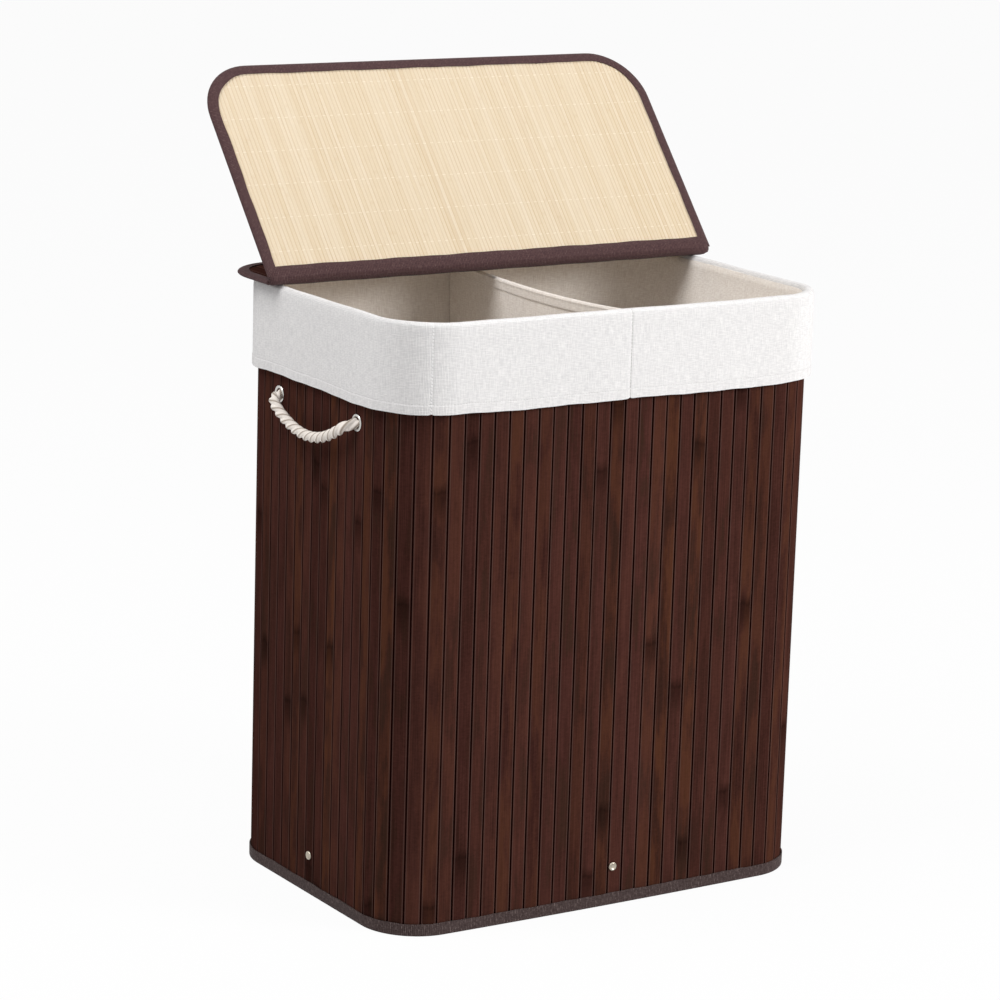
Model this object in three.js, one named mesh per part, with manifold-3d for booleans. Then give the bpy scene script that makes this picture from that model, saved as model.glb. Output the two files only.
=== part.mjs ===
// A collapsible laundry hamper with two bins: a wall of dark bamboo slats glued to cloth, a linen liner with two
// bags whose top folds out over the rim as a cuff, a bound slat lid on a cloth hinge, and two rope handles.
// Millimetres. X runs along the width, Y from front (-Y) to back, Z up. The origin is on the floor, under the middle.
import * as THREE from "three";
import { mergeVertices } from "three/addons/utils/BufferGeometryUtils.js";
import Module from "manifold-3d";

const wasm = await Module();
wasm.setup();

// Driving dimensions of the body
const bodyWidth = 520;
const bodyDepth = 345;
const cornerRadius = 60;
const frontBow = 4; // how far the front and back walls belly out at their middle
const rimHeight = 636; // top of the cuff
const cuffDrop = 92; // depth of the cuff's outer side
const cuffStandoff = 6; // how far the cuff's outer face stands outside the slats

// Driving dimensions of the lid
const lidOverhang = 19; // past the slats at each side
const lidFrontOverhang = 15; // past the slats at front and back
const lidCornerRadius = 62;
const hingeSetback = 76; // hinge line behind the middle of the body
const openAngle = 131; // degrees that the lid stands open at rest

// Sheet thicknesses
const slatThickness = 2.4;
const backingCloth = 0.8;
const tapeCloth = 1;
const cuffCloth = 1.6;
const bagCloth = 1.2;
const clearance = 0.3; // between neighbouring pieces that touch on the real hamper
const overrun = 2; // how far a cutting tool runs past what it cuts

// Slats
const nominalSlatPitch = 17.3;
const jointMouth = 0.9; // half width of the joint between slats at the face
const jointFloor = 0.5; // half width of the joint at the glue film
const glueFilm = 0.4; // film that the slats are glued on, edge to edge

const halfWidth = bodyWidth / 2;
const halfDepth = bodyDepth / 2;

const material = (color, roughness, metalness = 0) =>
  new THREE.MeshStandardMaterial({ color, roughness, metalness });
const darkBamboo = material("#4a2b24", 0.5);
const paleBamboo = material("#ecdab4", 0.6);
const plumCloth = material("#5c434a", 0.9);
const greyCloth = material("#5d4b4a", 0.95);
const darkCloth = material("#2c2322", 0.95);
const whiteLinen = material("#e8e6e3", 0.95);
const greyLinen = material("#cdc4ba", 0.95);
const cottonRope = material("#ddd3c9", 0.9);
const champagneMetal = material("#b5ad9b", 0.35, 1);
const silverMetal = material("#cfcfcd", 0.3, 1);
const springSteel = material("#8d9093", 0.4, 1);
const hardboard = material("#8a6a48", 0.8);

const body = new THREE.Group();
const flap = new THREE.Group();
const hamper = new THREE.Group();
hamper.add(body, flap);

// Puts a geometry into a group as a named piece.
function addPiece(group, name, geometry, finish) {
  const mesh = new THREE.Mesh(geometry, finish);
  mesh.name = name;
  group.add(mesh);
  return mesh;
}

// Closed solid of a geometry, with only its positions, and the geometry of a solid.
function toSolid(geometry) {
  const bare = geometry.clone();
  bare.deleteAttribute("normal");
  bare.deleteAttribute("uv");
  const merged = mergeVertices(bare);
  return new wasm.Manifold(
    new wasm.Mesh({
      numProp: 3,
      vertProperties: merged.attributes.position.array,
      triVerts: new Uint32Array(merged.index.array),
    }),
  );
}
function toGeometry(solid) {
  const { vertProperties, triVerts } = solid.getMesh();
  const geometry = new THREE.BufferGeometry();
  geometry.setAttribute("position", new THREE.BufferAttribute(vertProperties, 3));
  geometry.setIndex(new THREE.BufferAttribute(triVerts, 1));
  return geometry;
}

// Cuts each tool out of a geometry, or joins each part to it.
function cut(geometry, tools) {
  return toGeometry(tools.reduce((solid, tool) => solid.subtract(toSolid(tool)), toSolid(geometry)));
}
function join(geometry, parts) {
  return toGeometry(parts.reduce((solid, part) => solid.add(toSolid(part)), toSolid(geometry)));
}

// Mirrors a geometry left to right and turns its faces back outwards.
function mirrored(geometry) {
  const copy = (geometry.index ? geometry.toNonIndexed() : geometry.clone()).scale(-1, 1, 1);
  const at = copy.attributes.position;
  for (let i = 0; i < at.count; i += 3) {
    const [x, y, z] = [at.getX(i), at.getY(i), at.getZ(i)];
    at.setXYZ(i, at.getX(i + 1), at.getY(i + 1), at.getZ(i + 1));
    at.setXYZ(i + 1, x, y, z);
  }
  return mergeVertices(new THREE.BufferGeometry().setAttribute("position", at));
}

// Solid between rings of equal point count. Rings run anticlockwise seen from above and go bottom to top on the
// outside. A closed stack comes back to its first ring, as a tube bent into a hoop does; an open one is capped.
function loft(rings, closed) {
  const count = rings[0].length;
  const positions = rings.flat().flatMap((p) => [p.x, p.y, p.z]);
  const faces = [];
  const last = closed ? rings.length : rings.length - 1;
  for (let level = 0; level < last; level++) {
    const above = (level + 1) % rings.length;
    for (let i = 0; i < count; i++) {
      const next = (i + 1) % count;
      const [a, b, c, d] = [
        level * count + i,
        level * count + next,
        above * count + next,
        above * count + i,
      ];
      faces.push(a, b, c, a, c, d);
    }
  }
  if (!closed) {
    const cap = (level, turned) => {
      const flat = rings[level].map((p) => new THREE.Vector2(p.x, p.y));
      for (const [a, b, c] of THREE.ShapeUtils.triangulateShape(flat, [])) {
        const corners = [a, b, c].map((i) => level * count + i);
        faces.push(...(turned ? corners.reverse() : corners));
      }
    };
    cap(0, true);
    cap(rings.length - 1, false);
  }
  const geometry = new THREE.BufferGeometry();
  geometry.setAttribute("position", new THREE.Float32BufferAttribute(positions, 3));
  geometry.setIndex(faces);
  return geometry;
}

// Plan outline of the body

// Point on the rounded rectangle at a distance round it from the middle of the front, going to the right, with the
// front and back bellied out by a cosine.
const straightX = halfWidth - cornerRadius;
const straightY = halfDepth - cornerRadius;
const cornerLength = (Math.PI / 2) * cornerRadius;
const perimeter = 4 * (straightX + straightY + cornerLength);
function bellied(x, y) {
  const belly = (frontBow / halfDepth) * Math.cos((Math.PI * x) / bodyWidth);
  return new THREE.Vector2(x, y * (1 + belly));
}
function outlinePoint(distance) {
  const quarter = perimeter / 4;
  const turned = Math.floor(distance / quarter);
  const backwards = turned % 2 === 1;
  const along = backwards ? quarter - (distance % quarter) : distance % quarter;
  const angle = THREE.MathUtils.clamp((along - straightX) / cornerRadius, 0, Math.PI / 2);
  const x = Math.min(along, straightX) + cornerRadius * Math.sin(angle);
  const y = -halfDepth + cornerRadius * (1 - Math.cos(angle)) + Math.max(0, along - straightX - cornerLength);
  return bellied(turned >= 2 ? -x : x, turned === 1 || turned === 2 ? -y : y);
}

// Slat joints stand at even steps round the outline, one of them in the middle of the front and of the back.
const slatCount = 2 * Math.round(perimeter / (2 * nominalSlatPitch));
const slatPitch = perimeter / slatCount;
const joints = Array.from({ length: slatCount }, (_, i) => outlinePoint(i * slatPitch));

// Cloth follows every joint round the corners and every fourth along the walls.
const clothStepShare = 4;
const clothJoints = joints.filter((p, i) => {
  const inCorner = Math.abs(p.x) > straightX - slatPitch && Math.abs(p.y) > straightY - slatPitch;
  return inCorner || Math.min(i, slatCount - i) % clothStepShare === 0;
});

// A polygon moved outwards by a distance, with mitred corners, so that its sides stay parallel.
function offset(points, distance) {
  return points.map((p, i) => {
    const before = p.clone().sub(points.at(i - 1)).normalize();
    const after = points[(i + 1) % points.length].clone().sub(p).normalize();
    const mitre = new THREE.Vector2(before.y + after.y, -before.x - after.x).normalize();
    return p.clone().addScaledVector(mitre, distance / Math.abs(mitre.x * after.y - mitre.y * after.x));
  });
}

// Flat plan raised between two heights, with holes.
function plate(points, bottom, top, holes = []) {
  const shape = new THREE.Shape(points);
  shape.holes = holes.map((hole) => new THREE.Path(hole));
  const geometry = new THREE.ExtrudeGeometry(shape, { depth: top - bottom, bevelEnabled: false });
  return geometry.translate(0, 0, bottom);
}

// Section carried round a polygon. Each section point is [outward offset, height] and they run anticlockwise with
// the outward direction to the right.
function sweptRound(points, section) {
  const rings = section.map(([out, height]) =>
    offset(points, out).map((p) => new THREE.Vector3(p.x, p.y, height)),
  );
  return loft(rings, true);
}

// Where the front of the body and its sides lie at a given outward offset.
const frontFaceAt = (x) => -bellied(x, halfDepth).y;

// Layers of the wall, as outward offsets from the slats' faces
const backingOuter = -slatThickness - clearance;
const backingInner = backingOuter - backingCloth;
const bindingOuter = clearance + tapeCloth;
const bindingLegOuter = backingInner - clearance;
const bindingLegInner = bindingLegOuter - tapeCloth;

const bindingTop = rimHeight - cuffCloth - clearance;
const wallTop = bindingTop - tapeCloth - clearance;
const wallBottom = tapeCloth + clearance;

// Rivets and eyelets go through the wall on these lines, each [position, outward direction].
const rivetHeight = 42;
const rivetHeadRadius = 4.8;
const rivetShankRadius = 2;
const rivetFromMiddle = 5.2; // front rivet, right of the middle joint
const eyeletBelowCuff = 22;
const eyeletFromCorner = 32.5; // from where the corner's curve starts
const eyeletHeight = rimHeight - cuffDrop - eyeletBelowCuff;
const eyeletSpacing = 2 * (straightY - eyeletFromCorner);
const eyeletBarrelRadius = 6.6;
const knotRadius = 12; // of the knots on the rope's ends

const rivetPlaces = {
  front: [new THREE.Vector3(rivetFromMiddle, frontFaceAt(rivetFromMiddle), rivetHeight), [0, -1]],
  back: [new THREE.Vector3(rivetFromMiddle, -frontFaceAt(rivetFromMiddle), rivetHeight), [0, 1]],
  left: [new THREE.Vector3(-halfWidth, 0, rivetHeight), [-1, 0]],
  right: [new THREE.Vector3(halfWidth, 0, rivetHeight), [1, 0]],
};
const eyeletPlaces = {};
for (const [side, out] of [["left", -1], ["right", 1]]) {
  for (const [end, along] of [["front", -1], ["back", 1]]) {
    const place = new THREE.Vector3(out * halfWidth, (along * eyeletSpacing) / 2, eyeletHeight);
    eyeletPlaces[side + "_" + end] = [place, [out, 0]];
  }
}

// Turned piece whose axis runs outwards through the wall. Its profile is [radius, outward offset] points.
const fastenerSides = 14;
function turned(profile, [place, [outX, outY]], sides = fastenerSides) {
  const points = profile.map(([radius, out]) => new THREE.Vector2(radius, out));
  const geometry = new THREE.LatheGeometry(points, sides);
  const outwards = new THREE.Vector3(outX, outY, 0);
  const turn = new THREE.Quaternion().setFromUnitVectors(new THREE.Vector3(0, 1, 0), outwards);
  return geometry.applyQuaternion(turn).translate(place.x, place.y, place.z);
}
function drill(radius, depth, place) {
  return turned([[0, -depth], [radius, -depth], [radius, overrun], [0, overrun]], place);
}

// Slat wall: each slat is a flat strip between two joints. A joint is a groove with slanted sides that goes down to
// the glue film, so the curtain of slats is one sheet that can bend at every joint.
function slatOutline() {
  return joints.flatMap((p, i) => {
    const before = p.clone().sub(joints.at(i - 1)).normalize();
    const after = joints[(i + 1) % slatCount].clone().sub(p).normalize();
    const depth = slatThickness - glueFilm;
    const inwards = ({ x, y }) => new THREE.Vector2(-y, x).multiplyScalar(depth);
    return [
      p.clone().addScaledVector(before, -jointMouth),
      p.clone().addScaledVector(before, -jointFloor).add(inwards(before)),
      p.clone().addScaledVector(after, jointFloor).add(inwards(after)),
      p.clone().addScaledVector(after, jointMouth),
    ];
  });
}
const wallHoles = [
  ...Object.values(rivetPlaces).map((place) =>
    drill(rivetShankRadius + clearance, slatThickness + overrun * 2, place),
  ),
  ...Object.values(eyeletPlaces).map((place) =>
    drill(eyeletBarrelRadius + clearance, slatThickness + overrun * 2, place),
  ),
];
const slats = plate(slatOutline(), wallBottom, wallTop, [offset(joints, -slatThickness)]);
addPiece(body, "slat_wall", cut(slats, wallHoles), darkBamboo);

// Wall backing: the stiff cloth that the curtain is glued to.
const backing = plate(offset(clothJoints, backingOuter), wallBottom, wallTop, [
  offset(clothJoints, backingInner),
]);
addPiece(body, "wall_backing", cut(backing, wallHoles), darkCloth);

// Bottom and top binding: tapes folded round the wall's edges.
const bottomBindingHeight = 13;
const topBindingHeight = 20;
const outerLeg = clearance;
addPiece(
  body,
  "bottom_binding",
  sweptRound(clothJoints, [
    [bindingLegInner, 0],
    [bindingOuter, 0],
    [bindingOuter, bottomBindingHeight],
    [outerLeg, bottomBindingHeight],
    [outerLeg, tapeCloth],
    [bindingLegOuter, tapeCloth],
    [bindingLegOuter, bottomBindingHeight],
    [bindingLegInner, bottomBindingHeight],
  ]),
  greyCloth,
);
addPiece(
  body,
  "top_binding",
  sweptRound(clothJoints, [
    [bindingLegInner, bindingTop - topBindingHeight],
    [bindingLegOuter, bindingTop - topBindingHeight],
    [bindingLegOuter, bindingTop - tapeCloth],
    [outerLeg, bindingTop - tapeCloth],
    [outerLeg, bindingTop - topBindingHeight],
    [bindingOuter, bindingTop - topBindingHeight],
    [bindingOuter, bindingTop],
    [bindingLegInner, bindingTop],
  ]),
  darkCloth,
);

// Seam tape inside the back wall, over the joint where the curtain's two ends meet.
const seamTapeWidth = 40;
const seamTapeCloth = 0.6;
const seamPlaceShare = 0.7; // of the straight back, from the middle
const seamX = slatPitch * Math.round((seamPlaceShare * straightX) / slatPitch);
const seamOutline = offset(clothJoints, backingInner - clearance).filter(
  (p) => p.y > 0 && Math.abs(p.x) < straightX,
);
const backLineAt = (x) => {
  const [right, left] = [seamOutline.findLast((p) => p.x >= x), seamOutline.find((p) => p.x < x)];
  return THREE.MathUtils.mapLinear(x, left.x, right.x, left.y, right.y);
};
const seamSide = (x, depth) => new THREE.Vector2(x, backLineAt(x) - depth);
const seamEdges = [seamX - seamTapeWidth / 2, seamX + seamTapeWidth / 2];
addPiece(
  body,
  "back_seam_tape",
  plate(
    [
      seamSide(seamEdges[0], seamTapeCloth),
      seamSide(seamEdges[1], seamTapeCloth),
      seamSide(seamEdges[1], 0),
      seamSide(seamEdges[0], 0),
    ],
    bottomBindingHeight + overrun,
    bindingTop - topBindingHeight - overrun,
  ),
  darkCloth,
);

// Base: a cloth floor with four upright tabs that the rivets hold, and two boards that fold at the middle.
const tabHeight = 55;
const tabWidth = 70;
const baseBoardThickness = 3;
const boardFold = 2; // gap between the boards
const baseOuter = bindingLegInner - clearance;
const tabInner = baseOuter - tapeCloth;
const boardBottom = tapeCloth + clearance;
const boardTop = boardBottom + baseBoardThickness;

const wireRadius = 1.5;
const wireCentre = baseOuter - wireRadius;
const boardOuter = wireCentre - wireRadius - clearance;

const frontEdge = (out) => frontFaceAt(tabWidth / 2) - out;
const tab = (width, depth, x, y) =>
  new THREE.BoxGeometry(width, depth, tabHeight).translate(x, y, tabHeight / 2);
const tabDepthCentre = Math.abs(frontEdge(baseOuter)) - tapeCloth / 2;
const tabWidthCentre = halfWidth + baseOuter - tapeCloth / 2;
const tabs = [
  tab(tabWidth, tapeCloth, 0, -tabDepthCentre),
  tab(tabWidth, tapeCloth, 0, tabDepthCentre),
  tab(tapeCloth, tabWidth, -tabWidthCentre, 0),
  tab(tapeCloth, tabWidth, tabWidthCentre, 0),
];
const tabHoles = Object.values(rivetPlaces).map((place) =>
  drill(rivetShankRadius + clearance, -tabInner + overrun, place),
);
const floorCloth = join(plate(offset(clothJoints, baseOuter), 0, tapeCloth), tabs);
addPiece(body, "base_cloth", cut(floorCloth, tabHoles), darkCloth);

const boardOutline = offset(clothJoints, boardOuter);
const foldLine = (x) => {
  const front = -boardOutline[0].y;
  return [new THREE.Vector2(x, front), new THREE.Vector2(x, -front)];
};
const rightHalf = boardOutline.filter((p) => p.x > boardFold);
const rightBoard = plate([...rightHalf, ...foldLine(boardFold / 2)], boardBottom, boardTop);
addPiece(body, "base_board_right", rightBoard, hardboard);
addPiece(body, "base_board_left", mirrored(rightBoard), hardboard);

// Rivets: a domed head outside, a shank through wall and tab, and an end spread over a washer.
const rivetHeadHeight = 2.2;
const washerThickness = 0.8;
const spreadRadius = 3.4;
const rivetDomeShares = [0.55, 0.85]; // of the head's radius, at its shoulder
const washerOuter = tabInner - clearance;
const washerInner = washerOuter - washerThickness;
const rivetEnd = washerInner - clearance - washerThickness;
for (const [side, place] of Object.entries(rivetPlaces)) {
  addPiece(
    body,
    "rivet_" + side,
    turned(
      [
        [0, rivetEnd],
        [spreadRadius, rivetEnd],
        [spreadRadius, washerInner - clearance],
        [rivetShankRadius, washerInner - clearance],
        [rivetShankRadius, clearance],
        [rivetHeadRadius, clearance],
        [rivetHeadRadius * rivetDomeShares[1], clearance + rivetHeadHeight * rivetDomeShares[0]],
        [rivetHeadRadius * rivetDomeShares[0], clearance + rivetHeadHeight * rivetDomeShares[1]],
        [0, clearance + rivetHeadHeight],
      ],
      place,
    ),
    champagneMetal,
  );
  addPiece(
    body,
    "rivet_washer_" + side,
    turned(washerProfile(rivetShankRadius + clearance, rivetHeadRadius, washerInner, washerOuter), place),
    silverMetal,
  );
}
function washerProfile(bore, rim, inner, outer) {
  return [[bore, inner], [rim, inner], [rim, outer], [bore, outer], [bore, inner]];
}

// Spring wires: one in each side wall, bent to an upside-down U. Its feet stand on the base and its bar runs under
// the rim. Sewn loops hold it to the backing.
const innerLegDepth = 36; // of the cuff, inside the rim
const wireBelowCuff = 8; // from that leg's edge to the bar's centre line
const wireBarHeight = rimHeight - innerLegDepth - wireBelowCuff;
const wireBend = 18;
const wireSides = 8;
const wireBendSteps = 5;
const loopBelowBend = 8;
const loopWidth = 14;
const knotMargin = 2; // between a wire's leg and the knot beside it
const loopBottom = eyeletHeight + knotRadius + knotMargin * 2;
const loopTop = wireBarHeight - wireBend - loopBelowBend;
const loopMiddle = (loopBottom + loopTop) / 2;
const loopHeight = loopTop - loopBottom;
const wireFoot = tapeCloth + clearance;

// Ring of points round a line that runs in a plane of constant x. Places in that plane are (y, z).
function ringRound(x, centre, along, radius, sides) {
  const across = new THREE.Vector2(along.y, -along.x);
  return Array.from({ length: sides }, (_, k) => {
    const angle = (2 * Math.PI * k) / sides;
    const off = across.clone().multiplyScalar(radius * Math.sin(angle)).add(centre);
    return new THREE.Vector3(x + radius * Math.cos(angle), off.x, off.y);
  });
}
function directionAt(points, i) {
  const ahead = points[Math.min(i + 1, points.length - 1)];
  return ahead.clone().sub(points[Math.max(i - 1, 0)]).normalize();
}

// Joins rings of equal count along a tube and closes both ends with fans.
function tubeBetween(rings) {
  const sides = rings[0].length;
  const positions = rings.flat().flatMap((p) => [p.x, p.y, p.z]);
  const faces = [];
  for (let i = 0; i < rings.length - 1; i++) {
    for (let k = 0; k < sides; k++) {
      const next = (k + 1) % sides;
      const [a, b, c, d] = [i * sides + k, i * sides + next, (i + 1) * sides + next, (i + 1) * sides + k];
      faces.push(a, b, c, a, c, d);
    }
  }
  const end = (rings.length - 1) * sides;
  for (let k = 1; k < sides - 1; k++) {
    faces.push(0, k + 1, k);
    faces.push(end, end + k, end + k + 1);
  }
  const geometry = new THREE.BufferGeometry();
  geometry.setAttribute("position", new THREE.Float32BufferAttribute(positions, 3));
  geometry.setIndex(faces);
  return geometry;
}

const wireX = halfWidth + wireCentre;
const legY = eyeletSpacing / 2 + knotRadius + knotMargin + wireRadius;
const bendPoint = (side, step) => {
  const angle = ((Math.PI / 2) * step) / wireBendSteps;
  const y = side * (legY - wireBend + wireBend * Math.cos(angle));
  return new THREE.Vector2(y, wireBarHeight - wireBend + wireBend * Math.sin(angle));
};
const bendSteps = Array.from({ length: wireBendSteps + 1 }, (_, step) => step);
const wirePoints = [
  new THREE.Vector2(-legY, wireFoot),
  ...bendSteps.map((step) => bendPoint(-1, step)),
  ...bendSteps.toReversed().map((step) => bendPoint(1, step)),
  new THREE.Vector2(legY, wireFoot),
];
const rightWire = tubeBetween(
  wirePoints.map((p, i) => ringRound(wireX, p, directionAt(wirePoints, i), wireRadius, wireSides)),
);
addPiece(body, "wire_frame_right", rightWire, springSteel);
addPiece(body, "wire_frame_left", mirrored(rightWire), springSteel);

// Cloth loop: a block of webbing from the backing to past the wire, with the wire's channel through it.
const loopOuter = backingInner - clearance;
const loopInner = wireCentre - wireRadius - clearance - tapeCloth;
for (const [end, along] of [["front", -1], ["back", 1]]) {
  const block = new THREE.BoxGeometry(loopOuter - loopInner, loopWidth, loopHeight).translate(
    halfWidth + (loopOuter + loopInner) / 2,
    along * legY,
    loopMiddle,
  );
  const channel = new THREE.CylinderGeometry(
    wireRadius + clearance,
    wireRadius + clearance,
    loopHeight + overrun,
    wireSides,
  )
    .rotateX(Math.PI / 2)
    .translate(wireX, along * legY, loopMiddle);
  const loop = cut(block, [channel]);
  addPiece(body, "wire_loop_right_" + end, loop, darkCloth);
  addPiece(body, "wire_loop_left_" + end, mirrored(loop), darkCloth);
}

// Eyelets: a flanged ring outside, its barrel through the wall, and its lip rolled over a washer inside.
const ropeRadius = 5.5;
const eyeletBore = ropeRadius + clearance;
const eyeletFlangeRadius = 9;
const eyeletFlange = 1.2;
const eyeletLipRadius = 7.8;
const eyeletLip = 0.7;
const eyeletSides = 18;
const innerWasherOuter = backingInner - clearance;
const innerWasherInner = innerWasherOuter - washerThickness;
const lipOuter = innerWasherInner - clearance;
const lipInner = lipOuter - eyeletLip;
const flangeCrown = 1.6; // how far inside its rim the flange is highest
for (const [name, place] of Object.entries(eyeletPlaces)) {
  addPiece(
    body,
    "eyelet_" + name,
    turned(
      [
        [eyeletBore, lipInner],
        [eyeletLipRadius, lipInner],
        [eyeletLipRadius, lipOuter],
        [eyeletBarrelRadius, lipOuter],
        [eyeletBarrelRadius, clearance],
        [eyeletFlangeRadius, clearance],
        [eyeletFlangeRadius - flangeCrown, clearance + eyeletFlange],
        [eyeletBore, clearance + eyeletFlange / 2],
        [eyeletBore, lipInner],
      ],
      place,
      eyeletSides,
    ),
    silverMetal,
  );
  addPiece(
    body,
    "eyelet_washer_" + name,
    turned(
      washerProfile(
        eyeletBarrelRadius + clearance,
        eyeletFlangeRadius,
        innerWasherInner,
        innerWasherOuter,
      ),
      place,
      eyeletSides,
    ),
    silverMetal,
  );
}

// Rope handles. Each rope comes through its eyelets and hangs in a shallow loop. The loop swings on the line
// between the points where it leaves the eyelets; the rope's ends stay in the wall, with a knot inside.
const ropeStandout = 12; // of the loop's plane from the slats
const loopDrop = 28;
const ropeSides = 10;
const ropeSteps = 16;
const ballSteps = 2;
const ballTipShare = 0.3; // of a step, left flat at the tip of the round end
const knotLength = 15;
const knotShoulder = 4;
const stubEnd = ropeStandout - ropeRadius - clearance;
const knotOuter = lipInner - clearance;
for (const [name, place] of Object.entries(eyeletPlaces)) {
  addPiece(
    body,
    "rope_end_" + name,
    turned(
      [
        [0, knotOuter - knotLength],
        [knotRadius - knotShoulder, knotOuter - knotLength],
        [knotRadius, knotOuter - knotLength + knotShoulder],
        [knotRadius, knotOuter - knotShoulder],
        [knotRadius - knotShoulder, knotOuter],
        [ropeRadius, knotOuter],
        [ropeRadius, stubEnd],
        [0, stubEnd],
      ],
      place,
    ),
    cottonRope,
  );
}
function ropeLoop(x) {
  const reach = eyeletSpacing / 2;
  const sagAt = (y) => new THREE.Vector2(y, eyeletHeight - loopDrop * (1 - (y / reach) ** 2));
  const centres = Array.from({ length: ropeSteps + 1 }, (_, i) => sagAt(-reach + (2 * reach * i) / ropeSteps));
  // Round ends, centred on the pivots.
  const ball = (i, direction) =>
    Array.from({ length: ballSteps }, (_, step) => {
      const angle = ((Math.PI / 2) * (step + 1)) / (ballSteps + ballTipShare);
      const along = directionAt(centres, i);
      const centre = centres[i].clone().addScaledVector(along, direction * ropeRadius * Math.sin(angle));
      return ringRound(x, centre, along, ropeRadius * Math.cos(angle), ropeSides);
    });
  return tubeBetween([
    ...ball(0, -1).toReversed(),
    ...centres.map((centre, i) => ringRound(x, centre, directionAt(centres, i), ropeRadius, ropeSides)),
    ...ball(ropeSteps, 1),
  ]);
}
const rightLoop = ropeLoop(halfWidth + ropeStandout);
addPiece(hamper, "rope_loop_right", rightLoop, cottonRope);
addPiece(hamper, "rope_loop_left", mirrored(rightLoop), cottonRope);

// Liner cuff: a linen band over the rim, hemmed at its lower edge, whose inner leg carries the bags.
const hemHeight = 10;
const hemThickening = 0.5; // on each face
const rollRadius = 6; // of the cuff's outer shoulder
const cuffInnerFace = bindingLegInner - clearance;
const cuffLegInner = cuffInnerFace - cuffCloth;
const cuffBottom = rimHeight - cuffDrop;
const cuffOuterInside = cuffStandoff - cuffCloth;
const rollShare = 0.3; // how much of the shoulder's radius its chamfer points keep
addPiece(
  body,
  "liner_cuff",
  sweptRound(clothJoints, [
    [cuffOuterInside - hemThickening, cuffBottom],
    [cuffStandoff + hemThickening, cuffBottom],
    [cuffStandoff + hemThickening, cuffBottom + hemHeight],
    [cuffStandoff, cuffBottom + hemHeight + hemThickening],
    [cuffStandoff, rimHeight - rollRadius],
    [cuffStandoff - rollRadius * rollShare, rimHeight - rollRadius * rollShare],
    [cuffStandoff - rollRadius, rimHeight],
    [cuffLegInner + rollRadius, rimHeight],
    [cuffLegInner + rollRadius * rollShare, rimHeight - rollRadius * rollShare],
    [cuffLegInner, rimHeight - rollRadius],
    [cuffLegInner, rimHeight - innerLegDepth],
    [cuffInnerFace, rimHeight - innerLegDepth],
    [cuffInnerFace, rimHeight - cuffCloth],
    [bindingOuter + clearance, rimHeight - cuffCloth],
    [cuffOuterInside, rimHeight - rollRadius],
    [cuffOuterInside, cuffBottom + hemHeight + hemThickening],
    [cuffOuterInside - hemThickening, cuffBottom + hemHeight],
  ]),
  whiteLinen,
);

// Liner bags: two open tubs side by side, each sewn from a wall panel that goes round three sides, a floor panel
// and a divider panel. The walls hang from the cuff's inner leg, draw in below it and stand just above the boards.
// The dividers meet at the middle, and their tops sag from front to back.
const bagTopDrop = 6; // from the rim to the bags' seam
const bagKnotGap = 1.6; // between the knots on the ropes and the bags' sides
const bagAboveKnots = 11; // from the knots' tops to where the bags' sides turn straight
const bagDraw = knotLength - knotOuter + bagKnotGap; // how far they stand in from the slats
const bagDrawHeight = eyeletHeight + knotRadius + bagAboveKnots;
const bagCornerRadius = 16; // of the drawn-in bag, outside
const dividerGap = 0.4; // between the two bags
const dividerDrop = 2; // from the rim to the divider's hem at its ends
const dividerSag = 6;
const dividerHem = 12;
const dividerSteps = 8;
const bagTopOffset = cuffLegInner - clearance;
const bagBottom = boardTop + clearance;
const bagFloorTop = bagBottom + bagCloth;
const dividerEnd = halfDepth + bagTopOffset - bagCloth;
const hemTopAt = (y) => {
  const share = Math.min(1, Math.abs(y) / dividerEnd);
  return rimHeight - dividerDrop - dividerSag * (1 - share ** 2);
};

// The body's outline drawn in to a smaller rounded rectangle, point for point.
function drawnIn(points, draw, radius) {
  const [reachX, reachY] = [halfWidth - draw - radius, halfDepth - draw - radius];
  return points.map((p) => {
    const corner = new THREE.Vector2(
      THREE.MathUtils.clamp(p.x, -straightX, straightX),
      THREE.MathUtils.clamp(p.y, -straightY, straightY),
    );
    const outwards = p.clone().sub(corner).divideScalar(cornerRadius);
    const place = new THREE.Vector2((corner.x * reachX) / straightX, (corner.y * reachY) / straightY);
    return place.addScaledVector(outwards, radius);
  });
}
const outerX = dividerGap / 2;
const innerX = outerX + bagCloth;

// Right half of an outline, from the middle of the front to the middle of the back, with its ends at the divider.
function rightHalfOf(outline) {
  const half = outline.filter((_, i) => clothJoints[i].x > clearance);
  const front = outline[0].y;
  return [new THREE.Vector2(outerX, front), ...half, new THREE.Vector2(outerX, -front)];
}
const wallLevel = (outside, inside, height) =>
  [...rightHalfOf(outside), ...rightHalfOf(inside).toReversed()].map((p) => new THREE.Vector3(p.x, p.y, height));
const drawnOutside = drawnIn(clothJoints, bagDraw, bagCornerRadius);
const drawnInside = drawnIn(clothJoints, bagDraw + bagCloth, bagCornerRadius - bagCloth);
const rightBag = loft(
  [
    wallLevel(drawnOutside, drawnInside, bagFloorTop + clearance),
    wallLevel(drawnOutside, drawnInside, bagDrawHeight),
    wallLevel(
      offset(clothJoints, bagTopOffset),
      offset(clothJoints, bagTopOffset - bagCloth),
      rimHeight - bagTopDrop,
    ),
  ],
  false,
);
const rightFloor = plate(rightHalfOf(drawnOutside), bagBottom, bagFloorTop);

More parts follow.
